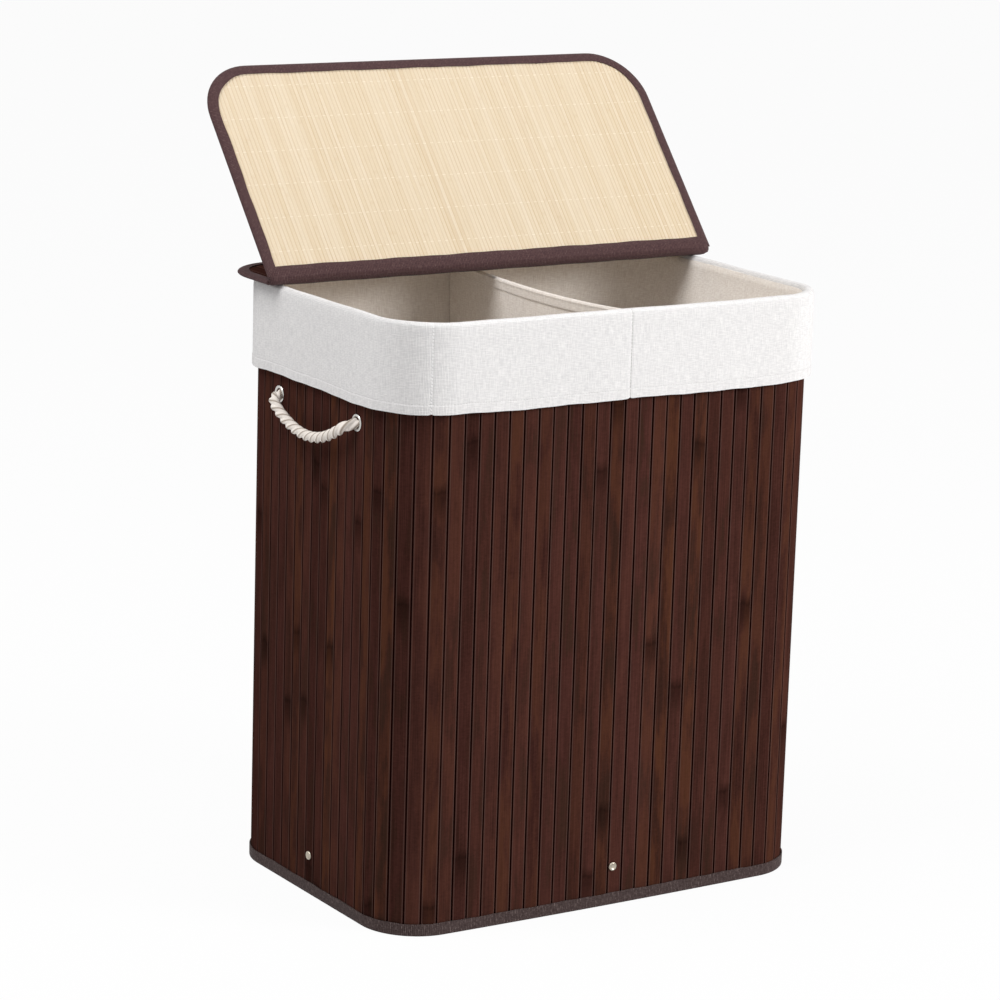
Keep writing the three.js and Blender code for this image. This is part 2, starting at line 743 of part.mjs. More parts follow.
// Divider panel: its front and back edges follow the wall panel's slope, and its top the hem's underside.
const dividerFoot = -drawnInside[0].y - clearance;
const dividerTop = dividerEnd - clearance;
const dividerTopAt = (y) => hemTopAt(y) - bagCloth - clearance;
const dividerSide = [
  new THREE.Vector2(-dividerFoot, bagFloorTop + clearance),
  new THREE.Vector2(dividerFoot, bagFloorTop + clearance),
  new THREE.Vector2(dividerFoot, bagDrawHeight),
  ...Array.from({ length: dividerSteps + 1 }, (_, i) => {
    const y = dividerTop - (2 * dividerTop * i) / dividerSteps;
    return new THREE.Vector2(y, dividerTopAt(y));
  }),
  new THREE.Vector2(-dividerFoot, bagDrawHeight),
];
const rightDivider = plate(dividerSide, outerX, innerX).rotateX(Math.PI / 2).rotateZ(Math.PI / 2);
for (const [name, panel] of [["bag", rightBag], ["floor", rightFloor], ["divider", rightDivider]]) {
  addPiece(body, `liner_${name}_right`, panel, greyLinen);
  addPiece(body, `liner_${name}_left`, mirrored(panel), greyLinen);
}

// Divider edge: a hem folded over the tops of the two walls between the bags.
const hemOuterX = innerX + clearance + bagCloth;
const hemInnerX = innerX + clearance;
const hemChamfer = 1;
const hemSection = [
  [hemOuterX, -dividerHem],
  [hemOuterX, -hemChamfer],
  [hemOuterX - hemChamfer, 0],
  [hemChamfer - hemOuterX, 0],
  [-hemOuterX, -hemChamfer],
  [-hemOuterX, -dividerHem],
  [-hemInnerX, -dividerHem],
  [-hemInnerX, -bagCloth],
  [hemInnerX, -bagCloth],
  [hemInnerX, -dividerHem],
];
const hemReach = dividerEnd - bagCloth - clearance;
const hemRings = Array.from({ length: dividerSteps + 1 }, (_, i) => {
  const y = -hemReach + (2 * hemReach * i) / dividerSteps;
  return hemSection.map(([x, down]) => new THREE.Vector3(x, y, hemTopAt(y) + down));
});
function hemSolid() {
  const count = hemSection.length;
  const shape = hemSection.map(([x, down]) => new THREE.Vector2(x, down));
  const caps = THREE.ShapeUtils.triangulateShape(shape, []);
  const faces = caps.flatMap(([a, b, c]) => {
    const end = dividerSteps * count;
    return [a, b, c, end + c, end + b, end + a];
  });
  for (let i = 0; i < dividerSteps; i++) {
    for (let k = 0; k < count; k++) {
      const next = (k + 1) % count;
      const [a, b, c, d] = [i * count + k, i * count + next, (i + 1) * count + next, (i + 1) * count + k];
      faces.push(a, c, b, a, d, c);
    }
  }
  const geometry = new THREE.BufferGeometry();
  const positions = hemRings.flat().flatMap((p) => [p.x, p.y, p.z]);
  geometry.setAttribute("position", new THREE.Float32BufferAttribute(positions, 3));
  geometry.setIndex(faces);
  return geometry;
}
addPiece(body, "divider_edge", hemSolid(), whiteLinen);

// Lid. Both parts are a sandwich: dark slats on top, a mat of fine natural strips below, and a tape folded round
// every edge. They are drawn lying closed, with the hinge line at y = 0 and z = 0 for the flap.
const anchorTape = 0.8;
const lidTape = 0.8;
const lidSlatThickness = 1.6;
const lidMatThickness = 1;
const lidTapeWidth = 12;
const lidBottom = rimHeight + clearance + anchorTape + clearance;
const lidThickness = 2 * lidTape + lidSlatThickness + lidMatThickness + 3 * clearance;
const hingeHeight = lidBottom + lidThickness + clearance;
const hingeBeadRadius = 1;
const lidHalfWidth = halfWidth + lidOverhang;
const lidHalfDepth = halfDepth + lidFrontOverhang;
const hingeEdge = hingeBeadRadius + clearance;
const lidCornerSteps = 8;

// Plan of a lid part from its hinge edge to its far edge, with rounded far corners. It lies on the -Y side.
function lidPlan(length) {
  const arc = (side) =>
    Array.from({ length: lidCornerSteps + 1 }, (_, i) => {
      const angle = ((Math.PI / 2) * i) / lidCornerSteps;
      return new THREE.Vector2(
        side * (lidHalfWidth - lidCornerRadius + lidCornerRadius * Math.sin(angle)),
        -length + lidCornerRadius * (1 - Math.cos(angle)),
      );
    });
  return [
    ...arc(1),
    new THREE.Vector2(lidHalfWidth, -hingeEdge),
    new THREE.Vector2(-lidHalfWidth, -hingeEdge),
    ...arc(-1).toReversed(),
  ];
}

// Grooved board of slats that run front to back, trimmed to a plan. Heights are from the slats' underside.
function lidSlatBoard(plan, length) {
  const count = 2 * Math.round(lidHalfWidth / nominalSlatPitch);
  const pitch = (2 * lidHalfWidth) / count;
  const grooveDepth = lidSlatThickness - glueFilm;
  const top = Array.from({ length: count - 1 }, (_, i) => {
    const x = lidHalfWidth - (i + 1) * pitch;
    return [
      new THREE.Vector2(x + jointMouth, lidSlatThickness),
      new THREE.Vector2(x + jointFloor, lidSlatThickness - grooveDepth),
      new THREE.Vector2(x - jointFloor, lidSlatThickness - grooveDepth),
      new THREE.Vector2(x - jointMouth, lidSlatThickness),
    ];
  }).flat();
  const section = new THREE.Shape([
    new THREE.Vector2(-lidHalfWidth, 0),
    new THREE.Vector2(lidHalfWidth, 0),
    new THREE.Vector2(lidHalfWidth, lidSlatThickness),
    ...top,
    new THREE.Vector2(-lidHalfWidth, lidSlatThickness),
  ]);
  const board = new THREE.ExtrudeGeometry(section, { depth: length, bevelEnabled: false });
  const blank = plate(plan, -overrun, lidSlatThickness + overrun);
  return toGeometry(toSolid(board.rotateX(Math.PI / 2)).intersect(toSolid(blank)));
}

// The three layers of a lid part, from its top face at z = -clearance down.
function lidLayers(length) {
  const plan = lidPlan(length);
  const inner = offset(plan, -lidTape - clearance);
  const bottom = -clearance - lidThickness;
  const matBottom = bottom + lidTape + clearance;
  const slatBottom = matBottom + lidMatThickness + clearance;
  const edge = lidTape; // chamfer of the tape's outer fold
  const binding = sweptRound(plan, [
    [-lidTapeWidth, bottom],
    [-edge, bottom],
    [0, bottom + edge],
    [0, -clearance - edge],
    [-edge, -clearance],
    [-lidTapeWidth, -clearance],
    [-lidTapeWidth, -clearance - lidTape],
    [-lidTape, -clearance - lidTape],
    [-lidTape, bottom + lidTape],
    [-lidTapeWidth, bottom + lidTape],
  ]);
  return {
    binding,
    mat: plate(inner, matBottom, matBottom + lidMatThickness),
    slats: lidSlatBoard(inner, length).translate(0, 0, slatBottom),
  };
}

// Flap: drawn closed about the hinge line, then turned open.
const flapLayers = lidLayers(lidHalfDepth + hingeSetback);
addPiece(flap, "lid_slats", flapLayers.slats, darkBamboo);
addPiece(flap, "lid_mat", flapLayers.mat, paleBamboo);
addPiece(flap, "lid_binding", flapLayers.binding, plumCloth);
flap.position.set(0, hingeSetback, hingeHeight);
flap.rotation.x = -THREE.MathUtils.degToRad(openAngle);

// Rear strip: the same layers turned round, held on the rim by an anchor tape.
const strip = new THREE.Group();
const stripLayers = lidLayers(lidHalfDepth - hingeSetback);
addPiece(strip, "lid_rear_slats", stripLayers.slats, darkBamboo);
addPiece(strip, "lid_rear_mat", stripLayers.mat, paleBamboo);
addPiece(strip, "lid_rear_binding", stripLayers.binding, plumCloth);
strip.position.set(0, hingeSetback, hingeHeight);
strip.rotation.z = Math.PI;
body.add(strip);

const anchorLength = 2 * straightX;
const anchorWidth = 16;
addPiece(
  body,
  "lid_anchor_tape",
  new THREE.BoxGeometry(anchorLength, anchorWidth, anchorTape).translate(
    0,
    halfDepth,
    rimHeight + clearance + anchorTape / 2,
  ),
  darkCloth,
);

// Hinge tape: the fold of cloth that the flap turns on.
const beadSides = 8;
addPiece(
  body,
  "lid_hinge_tape",
  new THREE.CylinderGeometry(hingeBeadRadius, hingeBeadRadius, 2 * lidHalfWidth, beadSides)
    .rotateZ(Math.PI / 2)
    .translate(0, hingeSetback, hingeHeight),
  plumCloth,
);

export default hamper;
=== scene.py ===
# A collapsible laundry hamper with two bins: a wall of dark bamboo slats, a linen liner with two bags and a
# cuff folded out over the rim, a bound slat lid on a cloth hinge, and a rope handle on each side.
# Metres. The origin is on the floor under the middle. X runs along the width, Y from front to back, Z up.
from math import pi, radians

import bpy
import numpy as np
from mathutils import Matrix


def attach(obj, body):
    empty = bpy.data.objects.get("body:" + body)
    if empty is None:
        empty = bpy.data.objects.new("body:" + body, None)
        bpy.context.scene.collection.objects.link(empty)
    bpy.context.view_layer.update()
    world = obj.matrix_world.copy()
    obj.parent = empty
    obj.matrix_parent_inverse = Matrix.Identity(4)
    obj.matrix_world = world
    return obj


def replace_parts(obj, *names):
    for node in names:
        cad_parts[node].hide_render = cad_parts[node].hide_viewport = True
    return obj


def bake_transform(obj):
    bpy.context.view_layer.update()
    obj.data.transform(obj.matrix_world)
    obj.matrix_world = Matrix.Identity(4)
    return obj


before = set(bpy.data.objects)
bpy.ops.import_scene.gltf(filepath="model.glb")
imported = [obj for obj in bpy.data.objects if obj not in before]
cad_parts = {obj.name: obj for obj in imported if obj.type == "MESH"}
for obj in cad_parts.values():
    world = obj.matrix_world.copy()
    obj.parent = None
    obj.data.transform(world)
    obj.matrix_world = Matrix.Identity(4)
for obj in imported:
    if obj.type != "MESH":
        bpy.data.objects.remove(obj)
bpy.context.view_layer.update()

scene = bpy.context.scene
scene.view_settings.view_transform = "Standard"


# Camera: the photograph's own view, from the front left and a little above, through a long lens. It is rolled
# by under two degrees, as the photograph is.
view_place = (-2.05127, -3.137734, 1.263793)
view_turn = radians(-32.72)
view_tilt = radians(90 - 12.99)
view_roll = radians(1.77)
view_lens = 129.8

camera_data = bpy.data.cameras.new("view")
camera_data.lens = view_lens
camera = bpy.data.objects.new("view", camera_data)
camera.matrix_world = (
    Matrix.Translation(view_place)
    @ Matrix.Rotation(view_turn, 4, "Z")
    @ Matrix.Rotation(view_tilt, 4, "X")
    @ Matrix.Rotation(view_roll, 4, "Z")
)
scene.collection.objects.link(camera)
scene.camera = camera


# Studio: a wide white floor and background, a large soft lamp at the front right and a weaker one high at the
# left. The camera, and surfaces that mirror or let light through, see the background as plain white.
floor_reach = 60
floor_glow_share = 0.95  # how far the floor shows its plain white, over the shadows on it
lamps = {"key": ((2.5, -3.1, 2.3), 155), "fill": ((-1.8, 0.05, 3.2), 72)}  # place and watts
lamp_side = 1.8
lamp_aim = np.array((0, 0, 0.4))


class Wire:
    """One output of a shader node. An expression on wires and numbers adds the Math nodes that it needs."""

    def __init__(self, tree, socket=None):
        self.tree = tree
        self.socket = socket

    def node(self, kind, settings, values, output=0):
        """The output of a new node of that kind, with those settings and socket values."""
        made = self.tree.nodes.new(kind)
        for name, value in settings.items():
            setattr(made, name, value)
        self.feed(made, values)
        return Wire(self.tree, made.outputs[output])

    def feed(self, made, values):
        """Gives sockets of a node in the same tree their numbers or links. None leaves a socket as it is."""
        for name, value in values.items():
            if isinstance(value, Wire):
                self.tree.links.new(value.socket, made.inputs[name])
            elif value is not None:
                made.inputs[name].default_value = value

    def maths(self, operation, *terms):
        return self.node("ShaderNodeMath", {"operation": operation}, dict(enumerate(terms)))

    def __add__(self, other):
        return self.maths("ADD", self, other)

    def __sub__(self, other):
        return self.maths("SUBTRACT", self, other)

    def __rsub__(self, other):
        return self.maths("SUBTRACT", other, self)

    def __mul__(self, other):
        return self.maths("MULTIPLY", self, other)

    def __truediv__(self, other):
        return self.maths("DIVIDE", self, other)

    def __pow__(self, other):
        return self.maths("POWER", self, other)

    def __mod__(self, other):
        return self.maths("FLOORED_MODULO", self, other)

    def __abs__(self):
        return self.maths("ABSOLUTE", self)

    __radd__ = __add__


def colour(code):
    """Linear red, green, blue and full alpha of a hexadecimal screen colour."""
    shares = np.array([int(code[i : i + 2], 16) for i in (1, 3, 5)]) / 255
    linear = np.where(shares <= 0.04045, shares / 12.92, ((shares + 0.055) / 1.055) ** 2.4)
    return (*linear.tolist(), 1)


def new_finish(name):
    """A new material, and a wire that starts its shader maths."""
    finish = bpy.data.materials.new(name)
    finish.use_nodes = True
    return finish, Wire(finish.node_tree)


def dressed(finish, base, roughness, normal=None, specular=0.5, sheen=0, metallic=0):
    """The material, once its Principled shader has those numbers, colours or wires."""
    values = {
        "Base Color": base,
        "Metallic": metallic,
        "Roughness": roughness,
        "Specular IOR Level": specular,
        "Sheen Weight": sheen,
        "Normal": normal,
    }
    Wire(finish.node_tree).feed(finish.node_tree.nodes["Principled BSDF"], values)
    return finish


def mixed(share, first, second):
    """Colour between two colours."""
    return share.node("ShaderNodeMix", {"data_type": "RGBA"}, {0: share, 6: first, 7: second}, 2)


def seen_by(start, *rays):
    """1 for light paths of those kinds and 0 for others, as the greatest of their shares."""
    share, *others = [start.node("ShaderNodeLightPath", {}, {}, f"Is {ray} Ray") for ray in rays]
    for other in others:
        share = start.maths("MAXIMUM", share, other)
    return share


def unit(vectors):
    """Those vectors, each made one long."""
    return vectors / np.linalg.norm(vectors, axis=-1, keepdims=True)


white = colour("#ffffff")
world = bpy.data.worlds.new("studio")
world.use_nodes = True
sky = mixed(seen_by(Wire(world.node_tree), "Camera", "Glossy", "Transmission"), colour("#9b9b9d"), white)
sky.feed(world.node_tree.nodes["Background"], {"Color": sky})
scene.world = world

floor_mesh = bpy.data.meshes.new("floor")
corners = np.array([(-1, -1, 0), (1, -1, 0), (1, 1, 0), (-1, 1, 0)]) * floor_reach
floor_mesh.from_pydata(corners, [], [(0, 1, 2, 3)])
floor = bpy.data.objects.new("floor", floor_mesh)
scene.collection.objects.link(floor)

floor_finish, start = new_finish("floor_white")
floor_mesh.materials.append(floor_finish)
dressed(floor_finish, colour("#e8e8e8"), 0.9, specular=0)
floor_nodes = floor_finish.node_tree.nodes
lit = Wire(floor_finish.node_tree, floor_nodes["Principled BSDF"].outputs[0])
glow = start.node("ShaderNodeEmission", {}, {"Color": white, "Strength": 1})
shown = seen_by(start, "Camera", "Glossy") * floor_glow_share
floor_look = start.node("ShaderNodeMixShader", {}, {0: shown, 1: lit, 2: glow})
floor_look.feed(floor_nodes["Material Output"], {"Surface": floor_look})

for name, (place, watts) in lamps.items():
    lamp_data = bpy.data.lights.new(name, "AREA")
    lamp_data.shape = "SQUARE"
    lamp_data.size = lamp_side
    lamp_data.energy = watts
    lamp = bpy.data.objects.new(name, lamp_data)
    back = unit(np.array(place) - lamp_aim)
    right = unit(np.cross((0, 1, 0), back))
    turn = np.eye(4)
    turn[:3, :3] = np.stack([right, np.cross(back, right), back], axis=1)
    turn[:3, 3] = place
    lamp.matrix_world = Matrix(turn.tolist())
    scene.collection.objects.link(lamp)


# Slat wall: ninety-four flat strips of dark-stained bamboo, glued side by side to cloth. Each slat has its
# own stain, fine upright grain and rounded long edges, and some have the darker band of a node of the cane.
half_width = 0.26
half_depth = 0.1725
corner_radius = 0.06
front_bow = 0.004
wall_bottom = 0.0013
wall_top = 0.6328
nominal_slat_pitch = 0.0173
slat_depth = 0.0022
slat_rounding = 0.0008
slat_edge_shares = np.array([(0, -1), (0.3, -0.3), (1, 0)])  # of the rounding, from the side up to the face
slat_gap = 0.0015
slat_wander = 0.00016  # how far a slat strays sideways between its ends
slat_levels = 12
slat_uv_step = 0.1  # each slat has its own tenth of a metre across the UV map
# The paler band by each long edge is wear and also a painted highlight along the rounded edge.
edge_highlight_and_wear = (0.006, 0.0072)  # from a slat's middle, where its face grows paler
dark_side = (0.0074, 0.0079)  # and where its stained side begins
cane_nodes = 2.3  # in a metre of a slat
grain_depth = 0.0003
sharp_angle = radians(40)
straight_x = half_width - corner_radius
straight_y = half_depth - corner_radius
corner_length = pi / 2 * corner_radius
perimeter = 4 * (straight_x + straight_y + corner_length)
slat_count = 2 * round(perimeter / (2 * nominal_slat_pitch))
chance = np.random.default_rng(7)


def grid_mesh(name, points, closed_rows=False, closed_columns=False, capped=False, uv=None):
    """Mesh over one or more grids of points [grid, row, column], with a quad between each four neighbours.

    The last row or column joins the first where it is closed, and the first and last rows are filled where it
    is capped. A face looks outwards where columns go anticlockwise as seen from the end that the rows go to.
    uv holds the two coordinates of every corner, with one more row or column where that direction is closed.
    """
    points = points.reshape((-1,) + points.shape[-3:])
    grids, rows, columns = points.shape[:3]
    row, column = np.meshgrid(
        np.arange(rows - 1 + closed_rows), np.arange(columns - 1 + closed_columns), indexing="ij"
    )
    steps = ((0, 0), (0, 1), (1, 1), (1, 0))
    quads = np.stack([(row + i) % rows * columns + (column + j) % columns for i, j in steps], axis=-1)
    first = np.arange(grids)[:, None] * rows * columns
    faces = (first[..., None, None] + quads[None]).reshape(-1, 4).tolist()
    ring = np.arange(columns)
    if capped:
        faces += (first + ring[::-1]).tolist() + (first + (rows - 1) * columns + ring).tolist()
    mesh = bpy.data.meshes.new(name)
    mesh.from_pydata(points.reshape(-1, 3), [], faces)
    if uv is not None:
        uv = np.broadcast_to(uv, (grids,) + uv.shape[-3:])
        corner_uv = np.stack([uv[:, row + i, column + j] for i, j in steps], axis=3).reshape(-1, 2)
        if capped:
            caps = [uv[:, 0, :columns][:, ::-1], uv[:, rows - 1, :columns]]
            corner_uv = np.concatenate([corner_uv] + [cap.reshape(-1, 2) for cap in caps])
        mesh.uv_layers.new(name="UVMap").data.foreach_set("uv", corner_uv.ravel())
    return mesh


def add_piece(mesh, finish, body="hamper_body", smooth=True):
    """Puts a mesh in the scene as a piece with that material. It rides on the body, unless that is
    None."""
    mesh.polygons.foreach_set("use_smooth", np.full(len(mesh.polygons), smooth))
    mesh.materials.append(finish)
    piece = bpy.data.objects.new(mesh.name, mesh)
    scene.collection.objects.link(piece)
    if body:
        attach(piece, body)
    return piece


def uv_parts(start):
    """The two coordinates of the piece's own UV map, in metres."""
    where = start.node("ShaderNodeUVMap", {"uv_map": "UVMap"}, {})
    return [start.node("ShaderNodeSeparateXYZ", {}, {0: where}, axis) for axis in (0, 1)]


def vector(x, y, z=0):
    """A vector whose first part is a wire and whose others are wires or numbers."""
    return x.node("ShaderNodeCombineXYZ", {}, {0: x, 1: y, 2: z})


def noise(where, scale=1, detail=2, roughness=0.5):
    """Smooth noise from 0 to 1 at a vector."""
    values = {"Vector": where, "Scale": scale, "Detail": detail, "Roughness": roughness}
    return where.node("ShaderNodeTexNoise", {}, values)


def rise(value, low, high):
    """Smooth step from 0 at low to 1 at high."""
    values = {"Value": value, "From Min": low, "From Max": high}
    return value.node("ShaderNodeMapRange", {"interpolation_type": "SMOOTHSTEP"}, values)


def bumped(height, depth, strength):
    """Normal of a surface whose height, from 0 to 1, stands up to depth in metres."""
    return height.node("ShaderNodeBump", {}, {"Height": height, "Distance": depth, "Strength": strength})


def drawn_for(number, seeds):
    """For each seed, a random share from 0 to 1 that is the same all over one numbered strip."""
    return [
        number.node("ShaderNodeTexWhiteNoise", {"noise_dimensions": "1D"}, {"W": number + seed})
        for seed in seeds
    ]


def outline(distance, out):
    """Plan points (x, y) at a distance round the body from the middle of its front, going to the right.

    A rounded rectangle: along a straight side, then round a corner by its centre + radius * (sin, -cos),
    where out moves the sides outwards. One quarter is worked out and turned over for the others. Front and
    back bow out by a cosine of x.
    """
    distance, out = np.broadcast_arrays(distance % perimeter, out)
    radius = corner_radius + out
    quarter = perimeter / 4
    turned = (distance // quarter).astype(int)
    back = turned % 2 == 1
    along = np.where(back, quarter - distance % quarter, distance % quarter)
    angle = np.clip((along - straight_x) / corner_radius, 0, pi / 2)
    share_x = np.minimum(along / straight_x, 1)
    share_y = 1 - np.clip((along - straight_x - corner_length) / straight_y, 0, 1)
    x = share_x * (half_width + out - radius) + radius * np.sin(angle)
    y = -share_y * (half_depth + out - radius) - radius * np.cos(angle)
    x = np.where(turned >= 2, -x, x)
    y = np.where((turned == 1) | (turned == 2), -y, y)
    return np.stack([x, y * (1 + front_bow / half_depth * np.cos(pi * x / (2 * half_width)))], axis=-1)


def right_of(ahead):
    """Directions (x, y) turned a quarter to the right."""
    return np.stack([ahead[..., 1], -ahead[..., 0]], axis=-1)


def strip_section(half):
    """Section of flat strips of those half widths, as [strip, point, (across, outwards)], from the left edge
    of the face to its right edge and back along the underside. The long edges of the face are rounded."""
    edge = slat_edge_shares * slat_rounding
    half = np.asarray(half)[:, None]
    across = [edge[:, 0] - half, -half / 3, half / 3, half - edge[::-1, 0], half, -half]
    across = np.concatenate(across, axis=1)
    out = np.concatenate([edge[:, 1], [0, 0], edge[::-1, 1], [-slat_depth, -slat_depth]])
    return np.stack([across, np.broadcast_to(out, across.shape)], axis=-1)


def strip_uv(section, along):
    """UV of strips [strip, row, column], in metres: across, on the strip's own part of the map, and along."""
    strips = len(section)
    ring = np.concatenate([section[..., 0], section[:, :1, 0]], axis=1)
    across = ring + (np.arange(strips)[:, None] + 0.5) * slat_uv_step
    across, along = np.broadcast_arrays(across[:, None], along[..., None])
    return np.stack([across, along], axis=-1)


def bamboo(name, dark, light, warm, dull, knot, edge, side, node_share):
    """Stained bamboo strips: a tone for each strip, stretched grain with fine ticks, warm and dull stretches,
    soft bands of nodes, paler edges that are wear and a painted highlight, and dark sides."""
    finish, start = new_finish(name)
    across, along = uv_parts(start)
    number = start.maths("FLOOR", across / slat_uv_step)
    within = abs(across - (number + 0.5) * slat_uv_step)
    drawn = drawn_for(number, (0.37, 11.71, 23.13, 31.9))
    place = number * 0.61 + drawn[2] * 3
    blotch = noise(vector(across * 70, along * 13, place), detail=4, roughness=0.6)
    streak = noise(vector(across * 900, along * 6, place), detail=3)
    fine = noise(vector(across * 1700, along * 24, place), detail=3, roughness=0.65)
    tick = noise(vector(across * 210, along * 520, place))
    tone = drawn[0] * 0.32 + rise(blotch, 0.3, 0.72) * 0.3 + rise(streak, 0.34, 0.66) * 0.26
    tone = tone + (fine - 0.5) * 0.7 + (tick - 0.5) * 0.45
    face = mixed(tone, dark, light)
    face = mixed(drawn[1] ** 2 * rise(blotch, 0.35, 0.65) * 0.6, face, warm)
    face = mixed((1 - rise(blotch, 0.36, 0.52)) * drawn[2] * 0.5, face, dull)
    joint = (along * cane_nodes + drawn[2] * 7) % 1 - 0.5 + (blotch - 0.5) * 0.04
    has_node = rise(drawn[3], 1 - node_share, 1.02 - node_share)
    band = rise(joint, -0.08, -0.01) * (1 - rise(joint, 0, 0.03)) * (streak * 1.2 - 0.1) * has_node
    ring = (1 - rise(abs(joint), 0, 0.008)) * has_node
    smudge = rise(blotch, 0.6, 0.8) * 0.4
    face = mixed(band + ring * 0.16 + smudge, face, knot)
    # Paler band by each long edge: wear, and a painted highlight of the rounded edge.
    face = mixed(rise(within, *edge_highlight_and_wear) * 0.4, face, edge)
    face = mixed(rise(within, *dark_side), face, side)
    polish = 0.5 + fine * 0.2
    relief = bumped(fine * 0.6 + streak * 0.4, grain_depth, 0.4)
    return dressed(finish, face, polish, relief, specular=0)


joints = outline(np.arange(slat_count + 1) * perimeter / slat_count, 0)
chords = np.diff(joints, axis=0)
chord_lengths = np.linalg.norm(chords, axis=1)
section = strip_section((chord_lengths - slat_gap) / 2)
sideways = chords / chord_lengths[:, None]
outwards = right_of(sideways)
heights = np.linspace(wall_bottom, wall_top, slat_levels)
phase = chance.uniform(0, 2 * pi, (slat_count, 1))
stray = slat_wander * np.sin(heights[None] * chance.uniform(4, 11, (slat_count, 1)) + phase)
plan = (
    ((joints[:-1] + joints[1:]) / 2)[:, None, None]
    + (section[:, None, :, :1] + stray[..., None, None]) * sideways[:, None, None]
    + section[:, None, :, 1:] * outwards[:, None, None]
)
wall_heights = np.broadcast_to(heights[None, :, None, None], plan.shape[:3] + (1,))
wall_points = np.concatenate([plan, wall_heights], axis=-1)
wall_uv = strip_uv(section, np.broadcast_to(heights, (slat_count, slat_levels)))
dark_bamboo = bamboo(
    "dark_bamboo",
    dark=colour("#2d1814"),
    light=colour("#50302a"),
    warm=colour("#573521"),
    dull=colour("#35271d"),
    knot=colour("#190d0a"),
    edge=colour("#5f4a44"),
    side=colour("#280703"),
    node_share=0.42,
)
wall_mesh = grid_mesh("slat_curtain", wall_points, closed_columns=True, capped=True, uv=wall_uv)
wall_mesh.set_sharp_from_angle(angle=sharp_angle)
wall = add_piece(wall_mesh, dark_bamboo)
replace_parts(wall, "slat_wall")


# Wall backing, seam tape, wire loops, base cloth and anchor tape: dark woven cloth, hidden but for the thin
# lines between slats and the underside. They keep their own solids.
sides = {"left": -1, "right": 1}
ends = {"front": -1, "back": 1}
backing_thread = 0.0011
plain_weave_depth = 0.0003


def sine(value):
    """Sine of a wire, from -1 to 1."""
    return value.maths("SINE", value)


def plain_weave(name, dark, light, thread):
    """Coarse cloth on Object coordinates: threads both ways as waves, with uneven dye."""
    finish, start = new_finish(name)
    place = start.node("ShaderNodeTexCoord", {}, {}, "Object")
    x, y, z = [start.node("ShaderNodeSeparateXYZ", {}, {0: place}, axis) for axis in range(3)]
    rate = 2 * pi / thread
    threads = sine((x + y) * rate) * sine((x - y + z) * rate) * 0.5 + 0.5
    dye = noise(place, scale=90, detail=4)
    shade = mixed(threads * 0.5 + dye * 0.5, dark, light)
    return dressed(finish, shade, 0.95, bumped(threads, plain_weave_depth, 0.6), specular=0.15)


def keep_node(node, finish):
    """Gives a CAD node that keeps its own solid that material."""
    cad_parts[node].material_slots[0].material = finish


dark_cloth = plain_weave("dark_cloth", colour("#190604"), colour("#2b110b"), backing_thread)
for name in ("wall_backing", "back_seam_tape", "base_cloth", "lid_anchor_tape"):
    keep_node(name, dark_cloth)
for name in sides:
    for end in ends:
        keep_node(f"wire_loop_{name}_{end}", dark_cloth)


# Bindings of the wall: heathered ribbed tape folded round the lower edge and sewn through, and a plain one
# round the upper edge, under the cuff.
tape_thickness = 0.0011
tape_inner = -0.0043  # of the middle of each leg, outwards from the slats' faces
tape_outer = 0.0008
bottom_tape_lean = 0.0001
bottom_tape_fold = 0.0005
bottom_tape_top = 0.013
bottom_tape_wander = 0.0003
top_tape_fold = 0.6335
top_tape_bottom = 0.6145
top_tape_thread = 0.0009
rib_pitch = 0.0019
rib_depth = 0.0004
tape_step = 0.003
around_count = 4 * slat_count
around = np.arange(around_count) * perimeter / around_count


def softened(corners, step, passes):
    """Open line through those corners, rounded. Its sides are divided into parts no longer than a step, and
    then each pass puts points at a quarter and three quarters of every part."""
    line = np.array(corners, dtype=float)
    counts = np.ceil(np.linalg.norm(np.diff(line, axis=0), axis=1) / step).astype(int)
    parts = [np.linspace(a, b, n, endpoint=False) for a, b, n in zip(line[:-1], line[1:], counts)]
    line = np.concatenate(parts + [line[-1:]])
    for _ in range(passes):
        cut = np.stack([0.75 * line[:-1] + 0.25 * line[1:], 0.25 * line[:-1] + 0.75 * line[1:]], axis=1)
        line = np.concatenate([line[:1], cut.reshape(-1, 2), line[-1:]])
    return line


def travelled_along(points):
    """Distance along an open line at each of its points."""
    return np.concatenate([[0], np.cumsum(np.linalg.norm(np.diff(points, axis=0), axis=1))])


def uv_grid(across, down):
    """UV of a grid: one list of values across each row, and another down the columns."""
    return np.stack(np.meshgrid(across, down), axis=-1)


def ribbon(line, thickness):
    """Closed section of cloth whose middle follows a line: half its thickness out to the right of the way it
    runs, then back along the left. Also gives the distance along the line at each point of the section."""
    aside = right_of(unit(np.gradient(line, axis=0))) * np.reshape(thickness, (-1, 1)) / 2
    travelled = travelled_along(line)
    section = np.concatenate([line + aside, (line - aside)[::-1]])
    return section, np.concatenate([travelled, travelled[::-1], travelled[:1]])


def swept_round(name, section, travelled, drift=None, around=around):
    """Section (outward offset, height) carried round the body's outline. drift(around, offset, height) moves
    it."""
    out, height, distance = np.broadcast_arrays(section[:, :1], section[:, 1:], around[None])
    if drift:
        out, height = drift(distance, out, height)
    points = np.concatenate([outline(distance, out), height[..., None]], axis=-1)
    uv = uv_grid(np.append(around, perimeter), travelled)
    return grid_mesh(name, points, closed_rows=True, closed_columns=True, uv=uv)


